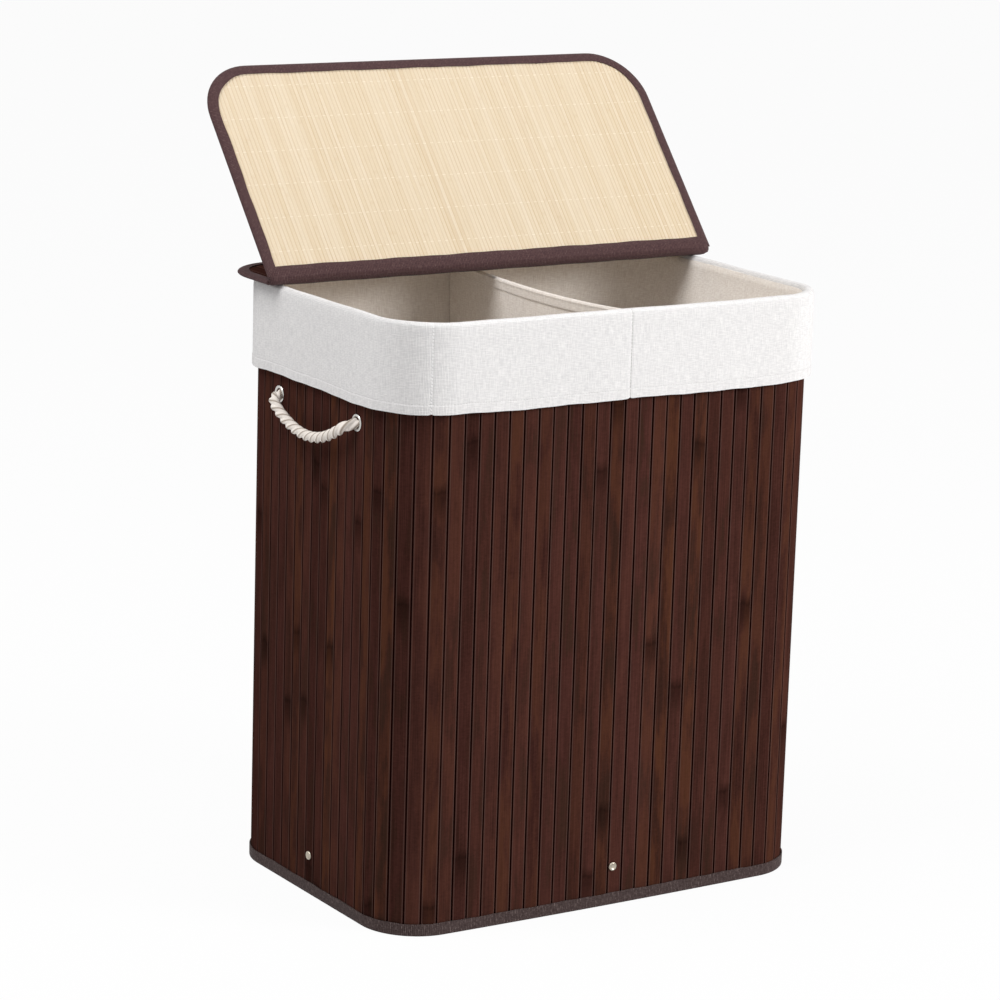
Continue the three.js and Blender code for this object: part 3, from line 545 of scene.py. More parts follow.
def ribbed_tape(name, dark, light, fleck):
    """Grosgrain tape: ribs across its length, in heathered yarn."""
    finish, start = new_finish(name)
    along, across = uv_parts(start)
    rib = sine(along * (2 * pi / rib_pitch)) * 0.5 + 0.5
    yarn = noise(vector(along * 700, across * 200), detail=3, roughness=0.7)
    heather = noise(vector(along * 260, across * 900), detail=3, roughness=0.7)
    shade = mixed(rise(heather, 0.32, 0.68) * 0.55 + rib * 0.45, dark, light)
    shade = mixed(rise(yarn, 0.5, 0.66) * rib * 0.9, shade, fleck)
    relief = bumped(rib * 0.4 + yarn * 0.6, rib_depth, 0.7)
    return dressed(finish, shade, 0.9, relief, specular=0.08, sheen=0.06)


def bottom_drift(distance, out, height):
    """The lower tape's sewn edge wanders: a sum of sines of the distance round, growing with height."""
    turn = 2 * pi * distance / perimeter
    wander = bottom_tape_wander * (np.sin(23 * turn) + 0.6 * np.sin(57 * turn + 1))
    return out, height + wander * np.clip(height / bottom_tape_top, 0, 1)


bottom_line = [
    (tape_inner, bottom_tape_top),
    (tape_inner, bottom_tape_fold),
    (tape_outer, bottom_tape_fold),
    (tape_outer + bottom_tape_lean, bottom_tape_top),
]
bottom_section, travelled = ribbon(softened(bottom_line, tape_step, 2), tape_thickness)
bottom_section = np.maximum(bottom_section, (-1, 0))  # flat on the floor
bottom_mesh = swept_round("bottom_tape", bottom_section, travelled, bottom_drift)
grey_tape = ribbed_tape("grey_tape", colour("#2b201f"), colour("#554745"), colour("#7b6c69"))
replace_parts(add_piece(bottom_mesh, grey_tape), "bottom_binding")

top_line = [
    (tape_outer, top_tape_bottom),
    (tape_outer, top_tape_fold),
    (tape_inner, top_tape_fold),
    (tape_inner, top_tape_bottom),
]
top_mesh = swept_round("top_tape", *ribbon(softened(top_line, tape_step, 1), tape_thickness))
top_tape = plain_weave("top_tape_cloth", colour("#1d1615"), colour("#352a28"), top_tape_thread)
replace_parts(add_piece(top_mesh, top_tape), "top_binding")


# Rivets, eyelets and their washers: pressed metal, champagne below and silver above. Rivets hold the base's
# tabs to the wall, and eyelets line the holes for the ropes.
turned_sides = 48
polish_depth = 0.00006
rivet_height = 0.042
rivet_from_middle = 0.0052
eyelet_height = 0.522
eyelet_reach = 0.08  # along the side, from its middle
rivet_profile = [  # (radius, outward offset) of the flared tail, the shank, and the head with its dimple
    (0.0001, -0.0083), (0.0033, -0.0083), (0.0034, -0.0077), (0.002, -0.0075), (0.002, 0.0003),
    (0.0046, 0.0003), (0.0048, 0.0006), (0.0047, 0.0012), (0.0043, 0.0018), (0.0037, 0.0021),
    (0.0031, 0.002), (0.0025, 0.0015), (0.0019, 0.0012), (0.001, 0.0011), (0.0001, 0.0011),
]
eyelet_profile = [  # of the rolled inner lip, the barrel and the rounded outer flange
    (0.0058, -0.0056), (0.0076, -0.0056), (0.0078, -0.0053), (0.0078, -0.0049), (0.0066, -0.0049),
    (0.0066, 0.0003), (0.0089, 0.0003), (0.009, 0.0005), (0.0087, 0.001), (0.0081, 0.0014),
    (0.0074, 0.0015), (0.0067, 0.0013), (0.0061, 0.0008), (0.0058, 0.0002),
]


def full_turn(count):
    """That many angles, spaced evenly round a circle."""
    return np.linspace(0, 2 * pi, count, endpoint=False)


def turned_grid(profile, place, outwards):
    """Profile of (radius, outward offset) turned round an axis that runs outwards through the wall."""
    profile = np.array(profile)
    angle = full_turn(turned_sides)
    outwards = np.array(outwards, dtype=float)
    side = np.cross((0, 0, 1), outwards)
    ring = np.cos(angle)[:, None] * side + np.sin(angle)[:, None] * np.array((0, 0, 1))
    return np.array(place) + profile[:, None, :1] * ring[None] + profile[:, None, 1:] * outwards


def metal(name, light, dark, roughness):
    """Plated metal with faint turning marks and dulled patches."""
    finish, start = new_finish(name)
    place = start.node("ShaderNodeTexCoord", {}, {}, "Object")
    patch = noise(place, scale=260, detail=4, roughness=0.6)
    fine = noise(place, scale=1700)
    plate = mixed(patch, dark, light)
    dulled = patch * 0.14 + fine * 0.08 + (roughness - 0.1)
    return dressed(finish, plate, dulled, bumped(fine, polish_depth, 0.25), metallic=1)


champagne_metal = metal("champagne_metal", colour("#c4bcae"), colour("#978f80"), 0.34)
silver_metal = metal("silver_metal", colour("#dedcd8"), colour("#b3b1ad"), 0.28)
belly = front_bow * np.cos(pi * rivet_from_middle / (2 * half_width))
rivet_places = {
    "front": ((rivet_from_middle, -half_depth - belly, rivet_height), (0, -1, 0)),
    "back": ((rivet_from_middle, half_depth + belly, rivet_height), (0, 1, 0)),
    "left": ((-half_width, 0, rivet_height), (-1, 0, 0)),
    "right": ((half_width, 0, rivet_height), (1, 0, 0)),
}
for name, (place, outwards) in rivet_places.items():
    rivet_points = turned_grid(rivet_profile, place, outwards)
    rivet_mesh = grid_mesh(f"rivet_head_{name}", rivet_points, closed_columns=True, capped=True)
    rivet_mesh.set_sharp_from_angle(angle=sharp_angle)
    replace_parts(add_piece(rivet_mesh, champagne_metal), f"rivet_{name}")
    keep_node(f"rivet_washer_{name}", silver_metal)
for name, side in sides.items():
    for end, along in ends.items():
        place = (side * half_width, along * eyelet_reach, eyelet_height)
        eyelet_points = turned_grid(eyelet_profile, place, (side, 0, 0))
        eyelet_mesh = grid_mesh(
            f"eyelet_ring_{name}_{end}", eyelet_points, closed_rows=True, closed_columns=True
        )
        eyelet_mesh.set_sharp_from_angle(angle=sharp_angle)
        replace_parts(add_piece(eyelet_mesh, silver_metal), f"eyelet_{name}_{end}")
        keep_node(f"eyelet_washer_{name}_{end}", silver_metal)


# Rope handles: one soft three-strand cotton rope on each side. It comes out of the wall through two eyelets
# and hangs between them in a shallow loop, with a knot inside the wall at each end. It is made as two halves
# that meet in the middle.
rope_standout = 0.0125
rope_drop = 0.028
strand_radius = 0.0031
strand_offset = 0.0027
groove_radius = 0.0039
strand_count = 3
strand_lay = 0.036  # length of rope in which a strand goes once round
fibre_depth = 0.0006
rope_around = 36
rope_along = 481
knot_place = 0.2465
knot_tube = 0.0042
knot_size = 0.0062
knot_depth_share = 0.8
knot_rope = 0.1  # length of rope in a knot
knot_along = 96
knot_around = 16
swing_start = np.array((0.262, 0.082, 0.523))  # a point by the right rope's rear eyelet
swing_end = np.array((0.28, 0.015, 0.505))  # a point on the right rope's rear half, by its middle
sweep_shares = np.array((0.8, 0.625, 0.425, 0.2125, 0, -0.2125, -0.425, -0.625, -0.8))  # of eyelet_reach
rope_end = [  # from the rear knot out through its eyelet
    (knot_place, eyelet_reach, eyelet_height),
    (0.2555, eyelet_reach, eyelet_height),
    (0.2655, 0.0785, 0.5205),
    (0.2715, 0.0725, 0.5172),
]


def rope_keys(side):
    """Keys of the route: out of the rear eyelet, along the wall on a parabola, and in at the front eyelet."""
    out = np.full(len(sweep_shares), half_width + rope_standout)
    sag = eyelet_height - rope_drop * (1 - sweep_shares**2)
    hanging = np.stack([out, sweep_shares * eyelet_reach, sag], axis=1)
    return np.concatenate([rope_end, hanging, np.array(rope_end[::-1]) * (1, -1, 1)]) * (side, 1, 1)


def spline(keys, count):
    """Points along a uniform cubic B-spline on those keys, whose ends are held by tripling them, and the
    distance along the line at each.

    Each point is a sum of four neighbouring keys, with weights (1-t)^3/6, (3t^3-6t^2+4)/6,
    (-3t^3+3t^2+3t+1)/6 and t^3/6. The points are then spaced evenly along the line.
    """
    keys = np.concatenate([keys[:1], keys[:1], keys, keys[-1:], keys[-1:]])
    place = np.linspace(0, len(keys) - 3 - 1e-9, 8 * count)
    start = place.astype(int)
    t = (place - start)[:, None]
    weights = ((1 - t) ** 3, 3 * t**3 - 6 * t**2 + 4, -3 * t**3 + 3 * t**2 + 3 * t + 1, t**3)
    line = sum(weight * keys[start + i] for i, weight in enumerate(weights)) / 6
    travelled = travelled_along(line)
    even = np.linspace(0, travelled[-1], count)
    return np.stack([np.interp(even, travelled, line[:, axis]) for axis in range(3)], axis=1), even


def tube_grid(path, radius):
    """Rings round a path: each is centre + radius * (up * cos(angle) + side * sin(angle))."""
    along = unit(np.gradient(path, axis=0))
    side = unit(np.cross(along, (0, 0, 1)))
    up = np.cross(side, along)
    angle = full_turn(radius.shape[1])[None]
    return (
        path[:, None]
        + (radius * np.cos(angle))[..., None] * up[:, None]
        + (radius * np.sin(angle))[..., None] * side[:, None]
    )


def rope_radius(angle, along):
    """Radius of a laid rope: round strands, whose lobes turn once in each lay, with softened grooves."""
    within = (angle + 2 * pi * along / strand_lay + pi / strand_count) % (2 * pi / strand_count)
    lobe = within - pi / strand_count
    reach = strand_radius**2 - (strand_offset * np.sin(lobe)) ** 2
    radius = strand_offset * np.cos(lobe) + np.sqrt(np.maximum(reach, 0))
    return np.maximum(radius, groove_radius)


def knot_grid(centre):
    """Trefoil of rope, pulled tight: a tube on 1.6 sin 3t through the wall, sin t + 2 sin 2t along it and
    cos t - 2 cos 2t up."""
    t = full_turn(knot_along)
    loop = [1.6 * np.sin(3 * t), np.sin(t) + 2 * np.sin(2 * t), np.cos(t) - 2 * np.cos(2 * t)]
    centres = np.stack(loop, axis=1) * knot_size / 3 * (knot_depth_share, 1, 1) + centre
    along = unit(np.roll(centres, -1, axis=0) - np.roll(centres, 1, axis=0))
    side = unit(np.cross(along, centres - centre))
    up = np.cross(side, along)
    angle = full_turn(knot_around)[:, None]
    return centres[:, None] + knot_tube * (np.cos(angle) * up[:, None] + np.sin(angle) * side[:, None])


def cotton(name, light, shade):
    """Laid cotton: pale round strands, with painted shade in the grooves between them,
    and fine fibres along the lay.
    """
    finish, start = new_finish(name)
    round_rope, along_rope = uv_parts(start)
    lay_turn = (round_rope + along_rope / strand_lay) * strand_count
    groove = abs(lay_turn % 1 - 0.5) * 2
    fibre = noise(vector(lay_turn * 9, along_rope * 260 - round_rope * 30), detail=3)
    hair = noise(vector(lay_turn * 40, along_rope * 900))
    # Painted shade in the grooves between the strands, and darker fibres.
    groove_shade_and_fibre = 1 - rise(groove, 0.55, 1) * 0.85 - fibre * 0.16
    strands = mixed(groove_shade_and_fibre, shade, light)
    relief = bumped(fibre * 0.6 + hair * 0.4, fibre_depth, 0.7)
    return dressed(finish, strands, 0.9, relief, specular=0.2, sheen=0.25)


cotton_rope = cotton("cotton_rope", colour("#fbf3ea"), colour("#9c8c7d"))
middle = rope_along // 2
knot_uv = uv_grid(np.linspace(0, 1, knot_around + 1), np.linspace(0, knot_rope, knot_along + 1))
for name, side in sides.items():
    path, along = spline(rope_keys(side), rope_along)
    rope_points = tube_grid(path, rope_radius(full_turn(rope_around)[None], along[:, None]))
    rope_uv = uv_grid(np.linspace(0, 1, rope_around + 1), along)
    for end, sign, rows in (("back", 1, slice(middle + 1)), ("front", -1, slice(middle, None))):
        mirror = (side, sign, 1)
        rope_mesh = grid_mesh(
            f"rope_{name}_{end}", rope_points[rows], closed_columns=True, capped=True, uv=rope_uv[rows]
        )
        is_side = np.arange(len(rope_mesh.polygons)) < len(rope_mesh.polygons) - 2
        rope = add_piece(rope_mesh, cotton_rope, body=None, smooth=is_side)
        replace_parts(rope, f"rope_loop_{name}", f"rope_end_{name}_{end}")
        swing_start * mirror
        swing_end * mirror
        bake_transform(rope)
        knot_points = knot_grid(np.array(rope_end[0]) * mirror)
        knot_mesh = grid_mesh(
            f"rope_knot_{name}_{end}", knot_points, closed_rows=True, closed_columns=True, uv=knot_uv
        )
        knot = add_piece(knot_mesh, cotton_rope)
        sign * eyelet_reach


# Wire frames and base boards: bent spring steel that keeps the rim open, and two boards of hardboard in the
# base. They keep their own solids, because cloth hides them.
board_depth = 0.0002
spring_wire = metal("spring_wire", colour("#9a9da0"), colour("#74777a"), 0.42)
hardboard, start = new_finish("hardboard")
place = start.node("ShaderNodeTexCoord", {}, {}, "Object")
pressed = noise(place, scale=420, detail=5, roughness=0.7)
board_brown = mixed(pressed, colour("#6f5238"), colour("#9a7852"))
dressed(hardboard, board_brown, 0.75, bumped(pressed, board_depth, 0.5))
for name in sides:
    keep_node(f"wire_frame_{name}", spring_wire)
    keep_node(f"base_board_{name}", hardboard)


# Cuff: a band of white linen, turned out over the rim and hemmed at its lower edge. Its inner leg carries the
# bags. It is joined in the middle of the front and of the back, and at the front left corner.
rim_height = 0.636
cuff_bottom = 0.544
cuff_cloth = 0.0016
hem_cloth = 0.0027
hem_height = 0.01
cuff_outer = 0.0052
cuff_inner = -0.0059
inner_leg_bottom = 0.6
cuff_step = 0.004
cuff_wave = 0.0006
rim_wave = 0.0003
nick_width = 0.0016
nick_depth = 0.0005
nick_lift = 0.0009
corner_seam = 0.228  # from the middle of the front, round to the left
seam_places = (0, perimeter - corner_seam, perimeter / 2)
seam_column = 0.001
seam_column_shares = np.array((-4, -2.5, -1.5, -0.7, 0, 0.7, 1.5, 2.5, 4))  # columns that sharpen a nick
linen_thread = 0.0014
linen_depth = 0.0005
seam_edge = (0.0002, 0.0012)  # from the middle of a sewn join, where it begins to fade and is gone
seam_stitch = 0.0035
stitch_edge = (0.0002, 0.0011)  # the same for a row of stitches
row_stitch = 0.0032


def linen(name, light, shade, seams=(), stitch_rows=()):
    """Plain-weave linen: threads both ways as waves with slubs, uneven dye, sewn joins and rows of stitches.

    A seam is its place along the cloth, its colour and how far it stands up, and a row is its place across.
    A seam's colour is painted shade along a sunk seam and a painted highlight along a raised one, and rows
    have painted shade along their sunk line.
    """
    finish, start = new_finish(name)
    along, across = uv_parts(start)
    rate = 2 * pi / linen_thread
    wander = noise(vector(along * 40, across * 40)) * 5
    warp = sine(along * rate + wander) * 0.5 + 0.5
    weft = sine(across * rate + wander) * 0.5 + 0.5
    slub_along = noise(vector(along * 130, across * 900), detail=3, roughness=0.6)
    slub_across = noise(vector(along * 900, across * 90), detail=3, roughness=0.6)
    cloud = noise(vector(along * 90, across * 90), detail=4)
    weave = warp * slub_across + weft * slub_along
    tone = rise(slub_along * 0.42 + slub_across * 0.42 + cloud * 0.1 + weave * 0.3, 0.45, 0.85)
    cloth = mixed(tone, shade, light)
    height = weave * 0.55 + slub_along * 0.3 + slub_across * 0.3
    for place, painted_seam_light, depth in seams:
        # Painted shade along a sunk seam, a painted highlight along a raised one.
        line = 1 - rise(abs(along - place), *seam_edge)
        line = line * rise(sine(across * (2 * pi / seam_stitch)), -1.4, 0.4)
        cloth = mixed(line * 0.45, cloth, painted_seam_light)
        height = height + line * depth
    for place in stitch_rows:
        # Painted shade along the row's sunk line, less on the stitches.
        row = 1 - rise(abs(across - place), *stitch_edge)
        stitch = rise(sine(along * (2 * pi / row_stitch)), -0.5, 0.4)
        cloth = mixed(row * (1 - stitch * 0.6) * 0.3, cloth, shade)
        height = height - row * (1.1 - stitch * 0.7)
    return dressed(finish, cloth, 0.95, bumped(height, linen_depth, 0.7), specular=0.1, sheen=0.1)


def cuff_drift(distance, out, height):
    """Soft waves of the cuff: sums of sines round the body that grow from the rim to the hem, a slightly
    uneven rim, and at each join a small nick, exp(-(distance from it / its width)^2)."""
    turn = 2 * pi * distance / perimeter
    hang = np.clip((rim_height - height) / (rim_height - cuff_bottom), 0, 1) * (out > 0)
    swell = np.sin(5 * turn + 0.6) + 0.7 * np.sin(11 * turn + 2.1) + 0.45 * np.sin(23 * turn + 4)
    edge = np.sin(7 * turn + 1.3) + 0.6 * np.sin(16 * turn + 0.2) + 0.3 * np.sin(41 * turn)
    rim = np.sin(6 * turn + 2.2) + 0.5 * np.sin(19 * turn + 0.9)
    from_seams = [(distance - place + perimeter / 2) % perimeter - perimeter / 2 for place in seam_places]
    nick = sum(np.exp(-((from_seam / nick_width) ** 2)) for from_seam in from_seams)
    moved_out = out + hang * (cuff_wave * swell) - (out > 0) * nick_depth * nick
    lift = hang * cuff_wave * edge + hang**3 * nick_lift * nick
    return moved_out, height + lift + (height > inner_leg_bottom) * rim_wave * rim


cuff_line = [  # (outwards, up) of the cloth's middle, from the hem over the rim and down inside
    (cuff_outer, cuff_bottom), (cuff_outer, 0.628), (0.0047, 0.6334), (0.0022, 0.6352),
    (-0.0026, 0.6352), (-0.0051, 0.6336), (cuff_inner, 0.629), (cuff_inner, inner_leg_bottom),
]
cuff_line = softened(cuff_line, cuff_step, 2)
hemmed = (cuff_line[:, 0] > 0) & (cuff_line[:, 1] < cuff_bottom + hem_height)
cuff_section, travelled = ribbon(cuff_line, np.where(hemmed, hem_cloth, cuff_cloth))
seam_columns = (np.array(seam_places)[:, None] + seam_column_shares * seam_column).ravel() % perimeter
cuff_around = np.unique(np.concatenate([around, seam_columns]).round(6))
cuff_mesh = swept_round("cuff", cuff_section, travelled, cuff_drift, cuff_around)
# The sunk joins at the front and back get painted shade, and the raised corner join a painted highlight.
sunk_seam_shade = colour("#a8a29c")
cuff_seams = [
    (seam_places[0], sunk_seam_shade, -1.2),
    (seam_places[1], colour("#fbfaf9"), 1.2),
    (seam_places[2], sunk_seam_shade, -1.2),
]
white_linen = linen("white_linen", colour("#efedeb"), colour("#d4d2d1"), cuff_seams, [hem_height])
cuff = add_piece(cuff_mesh, white_linen)
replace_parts(cuff, "liner_cuff")


# Liner bags: two open bags side by side, of linen painted paler than the cuff's to stand in for light that
# the deep bins lack, each with a wall that hangs from the cuff's inner leg, a divider wall at the middle and
# a floor.
# Slack cloth makes soft upright folds, deeper near the floor.
bag_top = 0.6325
bag_bottom = 0.0056
bag_draw_height = 0.545
bag_hang_offset = -0.0073
bag_low_offset = -0.0096
bag_low_half_width = 0.2369  # clear of the rope's knots
bag_cloth = 0.0012
bag_floor_rounding = 0.01
bag_column = 0.0052
bag_levels = 84
bend_levels = 6
floor_rings = 36
floor_hole_share = 0.004  # the smallest ring, of the wall's lowest one
divider_x = 0.0008
bag_seam = 0.7913  # from one end of the divider round to the other, along the bag's top
bag_girth = 1.1217
by_seam = np.array((0, 0.0012, 0.003))  # columns beside the divider's sewn ends
divider_share = 0.97  # of the half depth, where the divider's even columns begin
slack_at_top = 0.0005
slack_gain = 0.0028  # from the top to the floor
slack_seam = 0.03  # how far from a sewn end the cloth is held back
hem_end = 0.1643
hem_top = 0.634
hem_sag = 0.006
hem_cover = 0.002
floor_swell = 0.0005
fold_waves = (3, 5, 8, 13, 21)
fold_shares = (1, 0.8, 0.6, 0.35, 0.18)
bag_flat = (1.03, 0.63)
floor_flat = (0.236, 0.3)
# Paler than the cuff's white linen: painted light for the inside of the deep bins.
bag_light = colour("#faf4ec")
bag_shade = colour("#e0d6cc")


def hem_height_at(y):
    """Top of the divider's hem, which sags between front and back as a parabola of y."""
    return hem_top - hem_sag * (1 - np.minimum(1, np.abs(y) / hem_end) ** 2)


def bag_grids(seed):
    """Wall and floor of the right-hand bag as grids.

    Level by level the wall's plan goes from the body's outline inside the cuff to one that is drawn in at the
    sides, with a straight line for the divider. Folds are sums of sines of the place round the bag, leaning
    with height, that push in or out along the plan's normal and die away at the divider's sewn ends. The
    floor is the wall's lowest ring drawn in to its middle, with a swell of sines.
    """
    draw = np.random.default_rng(seed)
    bend = np.linspace(0, pi / 2, bend_levels, endpoint=False)
    straight = np.linspace(bag_bottom + bag_floor_rounding, bag_top, bag_levels)
    level = np.concatenate([bag_bottom + bag_floor_rounding * (1 - np.cos(bend)), straight])
    inset = np.concatenate([bag_floor_rounding * (1 - np.sin(bend)), np.zeros(bag_levels)])
    distance = np.linspace(bag_column, perimeter / 2 - bag_column, round(perimeter / 2 / bag_column))
    distance = np.concatenate([by_seam, distance, perimeter / 2 - by_seam[::-1]])
    share = np.clip((level - bag_draw_height) / (bag_top - bag_draw_height), 0, 1)[:, None, None]
    share = share * share * (3 - 2 * share)
    high = outline(distance, bag_hang_offset)
    low = outline(distance, bag_low_offset) * (bag_low_half_width / (half_width + bag_low_offset), 1)
    plan = share * high + (1 - share) * low
    plan[..., 0] += divider_x * (1 - plan[..., 0] / half_width)
    across = np.linspace(divider_share, -divider_share, round(2 * half_depth / bag_column))
    across = np.concatenate([1 - by_seam[1:] / half_depth, across, by_seam[:0:-1] / half_depth - 1])
    divider_y = plan[:, -1:, 1] * across
    divider = np.stack([np.full(divider_y.shape, divider_x), divider_y], axis=-1)
    ring = np.concatenate([plan, divider], axis=1)
    outwards = right_of(unit(np.roll(ring, -1, axis=1) - np.roll(ring, 1, axis=1)))
    place = np.arange(ring.shape[1]) / ring.shape[1]
    folds = 0
    for count, size in zip(fold_waves, fold_shares):
        phase, lean = draw.uniform(0, 2 * pi), draw.uniform(-7, 7)
        folds = folds + size * np.sin(2 * pi * count * place + phase + lean * level[:, None])
    from_seam = np.concatenate([np.minimum(distance, distance[::-1]), half_depth * (1 - np.abs(across))])
    slack = slack_at_top + slack_gain * (1 - level / bag_top)[:, None] ** 0.8
    slack = slack * np.minimum(1, from_seam / slack_seam)
    is_divider = np.arange(ring.shape[1]) >= len(distance)
    push = np.where(is_divider, -0.4 * np.abs(folds), folds) * slack - inset[:, None]
    ring = ring + push[..., None] * outwards
    divider_top = np.minimum(bag_top, hem_height_at(ring[-1, :, 1]) - hem_cover)
    top = np.where(is_divider, divider_top, bag_top)
    height = bag_bottom + (level[:, None] - bag_bottom) * (top - bag_bottom) / (bag_top - bag_bottom)
    wall = np.concatenate([ring, height[..., None]], axis=-1)
    centre = wall[0].mean(axis=0)
    inwards = np.linspace(floor_hole_share, 1, floor_rings)[:, None, None]
    base = centre + inwards * (wall[:1] - centre)
    x, y = base[..., 0], base[..., 1]
    swell = np.sin(38 * x + 21 * y + seed) + np.sin(57 * y - 18 * x)
    base[..., 2] = bag_bottom + floor_swell * (swell + 2) * (1 - inwards[..., 0] ** 4)
    return wall, base


def wall_uv_of(grid, side):
    """UV of a bag's wall: the distance round its top, counted the same way on both bags, and up its side."""
    steps = np.linalg.norm(np.diff(grid[-1], axis=0, append=grid[-1, :1]), axis=1)
    round_bag = np.concatenate([[0], np.cumsum(steps)])
    if side < 0:
        round_bag = np.append(round_bag[-2::-1], -steps[-1])
    return uv_grid(round_bag, travelled_along(grid[:, 0]))


def plan_uv(grid):
    """UV of a grid that closes round its columns: x and y of each point."""
    return np.concatenate([grid, grid[:, :1]], axis=1)[..., :2]


# Painted shade along the bags' sunk seams.
bag_seams = [(place, colour("#9a8f84"), -1) for place in (0, bag_seam, bag_girth)]
grey_linen = linen("grey_linen", bag_light, bag_shade, bag_seams)
for name, side in sides.items():
    wall_grid, floor_grid = bag_grids(seed=3 + side)
    wall_nodes = (f"liner_bag_{name}", f"liner_divider_{name}")
    floor_nodes = (f"liner_floor_{name}",)
    board = f"base_board_{name}"
    bag_parts = (
        ("wall", wall_grid, wall_uv_of(wall_grid, side), wall_nodes, bag_flat, "hung", "cuff"),
        ("floor", floor_grid, plan_uv(floor_grid), floor_nodes, floor_flat, "laid", board),
    )
    for part, grid, uv, nodes, flat, held, rests_on in bag_parts:
        if side < 0:
            grid = grid[:, ::-1] * (-1, 1, 1)
        bag_mesh = grid_mesh(f"bag_{part}_{name}", grid, closed_columns=True, uv=uv)
        bag_part = add_piece(bag_mesh, grey_linen)
        thicken = bag_part.modifiers.new("cloth", "SOLIDIFY")
        thicken.thickness = bag_cloth
        thicken.offset = 0
        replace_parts(bag_part, *nodes)


# Divider edge: a strip of the bags' linen, folded over the tops of the two divider walls and sewn through. It
# sags a little between the front and the back.
hem_reach = 0.1685
hem_step = 0.0015
hem_rows = 96
hem_wander = 0.0002
hem_stitches = (0.0018, 0.026)  # across the strip, from one raw edge
hem_half_line = [  # (right, up) of the cloth's middle from the hem's top, from a raw edge to the middle
    (0.0021, -0.012), (0.0022, -0.0045), (0.0027, -0.0022), (0.0014, -0.0007),
]
hem_line = hem_half_line + [(-x, z) for x, z in hem_half_line[::-1]]
hem_section, travelled = ribbon(softened(hem_line, hem_step, 2), bag_cloth)
hem_y = np.linspace(hem_reach, -hem_reach, hem_rows)
hem_x = hem_wander * (np.sin(21 * hem_y + 0.7) + 0.5 * np.sin(47 * hem_y))
hem_points = np.broadcast_arrays(
    hem_section[None, :, 0] + hem_x[:, None],
    hem_y[:, None],
    hem_height_at(hem_y)[:, None] + hem_section[None, :, 1],
)
hem_points = np.stack(hem_points, axis=-1)
hem_uv = uv_grid(travelled, hem_y)[..., ::-1]
hem_mesh = grid_mesh("divider_hem", hem_points, closed_columns=True, capped=True, uv=hem_uv)
divider_linen = linen("divider_linen", bag_light, bag_shade, stitch_rows=hem_stitches)
divider_hem = add_piece(hem_mesh, divider_linen)
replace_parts(divider_hem, "divider_edge")


# Lid: a flap and a rear strip of the same three layers: dark slats on cloth on top, a mat of fine pale
# bamboo splints below, and plum-brown ribbed tape folded round every edge and mitred at the hinge corners.
lid_half_width = 0.279
lid_half_depth = 0.1875
lid_corner_radius = 0.062
hinge_setback = 0.076
hinge_height = 0.6428
hinge_edge = 0.0013
open_angle = radians(131)
lid_gap = 0.0003
lid_thickness = 0.0051
lid_tape = 0.0008
lid_tape_width = 0.012
lid_tape_edge = 0.0003
lid_tape_step = 0.002
lid_tape_wander = 0.0003
lid_tape_puff = [  # (outwards, up) of the tape's lower half, from the lid's edge and the lower leg's height
    (-lid_tape_width, 0), (-0.0075, -0.0004), (-0.0038, -0.0001), (-0.0015, 0.0009),
]
lid_inset = 0.0011
mat_inset = 0.0042
mat_bottom = -0.0043
mat_top = -0.0033
splint_count = 120
splint_columns = 8
splint_round = 0.0005
splint_unevenness = 0.00005
splint_depth = 0.0002
splint_nodes = 3.1  # in a metre of a splint
splint_pitch = 2 * (lid_half_width - mat_inset) / splint_count
binding_spacing = 0.041  # of the rows of thread that bind the mat
lid_slat_top = -0.0014
lid_slat_depth = 0.0016
lid_slat_shares = np.array((0, 0.01, 0.25, 0.5, 0.75, 0.99, 1))
backing_columns = 81
plan_step = 0.006
arc_points = 17
corner_touch = 0.0004


def lid_plan(length):
    """Plan of a lid part that lies closed with its hinge edge along y = 0 and its far edge at y = -length.

    Gives, anticlockwise from the far right corner, points (x, y), how each moves for a unit of outward
    offset, and the distance round. Corners by the hinge are sharp and mitred, and the far ones are arcs
    (sin, -cos).
    """
    angle = np.linspace(0, pi / 2, arc_points)
    turn = np.stack([np.sin(angle), -np.cos(angle)], axis=1)
    arc = (lid_half_width - lid_corner_radius, lid_corner_radius - length) + lid_corner_radius * turn
    mirror = (-1, 1)
    corner = np.array((lid_half_width, -hinge_edge))
    place = np.concatenate([arc, [corner, corner * mirror], arc[::-1] * mirror])
    move = np.concatenate([turn, [(1, 1), (-1, 1)], turn[::-1] * mirror])
    keys = np.concatenate([place, move], axis=1)
    keys = np.concatenate([keys, keys[:1]])
    travelled = travelled_along(keys[:, :2])
    counts = np.ceil(np.diff(travelled) / plan_step).astype(int)
    stops = [np.linspace(a, b, n, endpoint=False) for a, b, n in zip(travelled[:-1], travelled[1:], counts)]
    sharp = travelled[[arc_points, arc_points + 1]]
    stops = np.unique(np.concatenate(stops + [sharp - corner_touch, sharp + corner_touch]))
    values = [np.interp(stops, travelled, keys[:, i]) for i in range(4)]
    return np.stack(values[:2], axis=1), np.stack(values[2:], axis=1), np.append(stops, travelled[-1])


def far_edge(x, length, inset):
    """Far edge of the plan inside the tape, at each x: straight, then a quarter circle at each side."""
    radius = lid_corner_radius - inset
    beyond = np.maximum(np.abs(x) - (lid_half_width - lid_corner_radius), 0)
    return inset - length + radius - np.sqrt(np.maximum(radius**2 - beyond**2, 0))


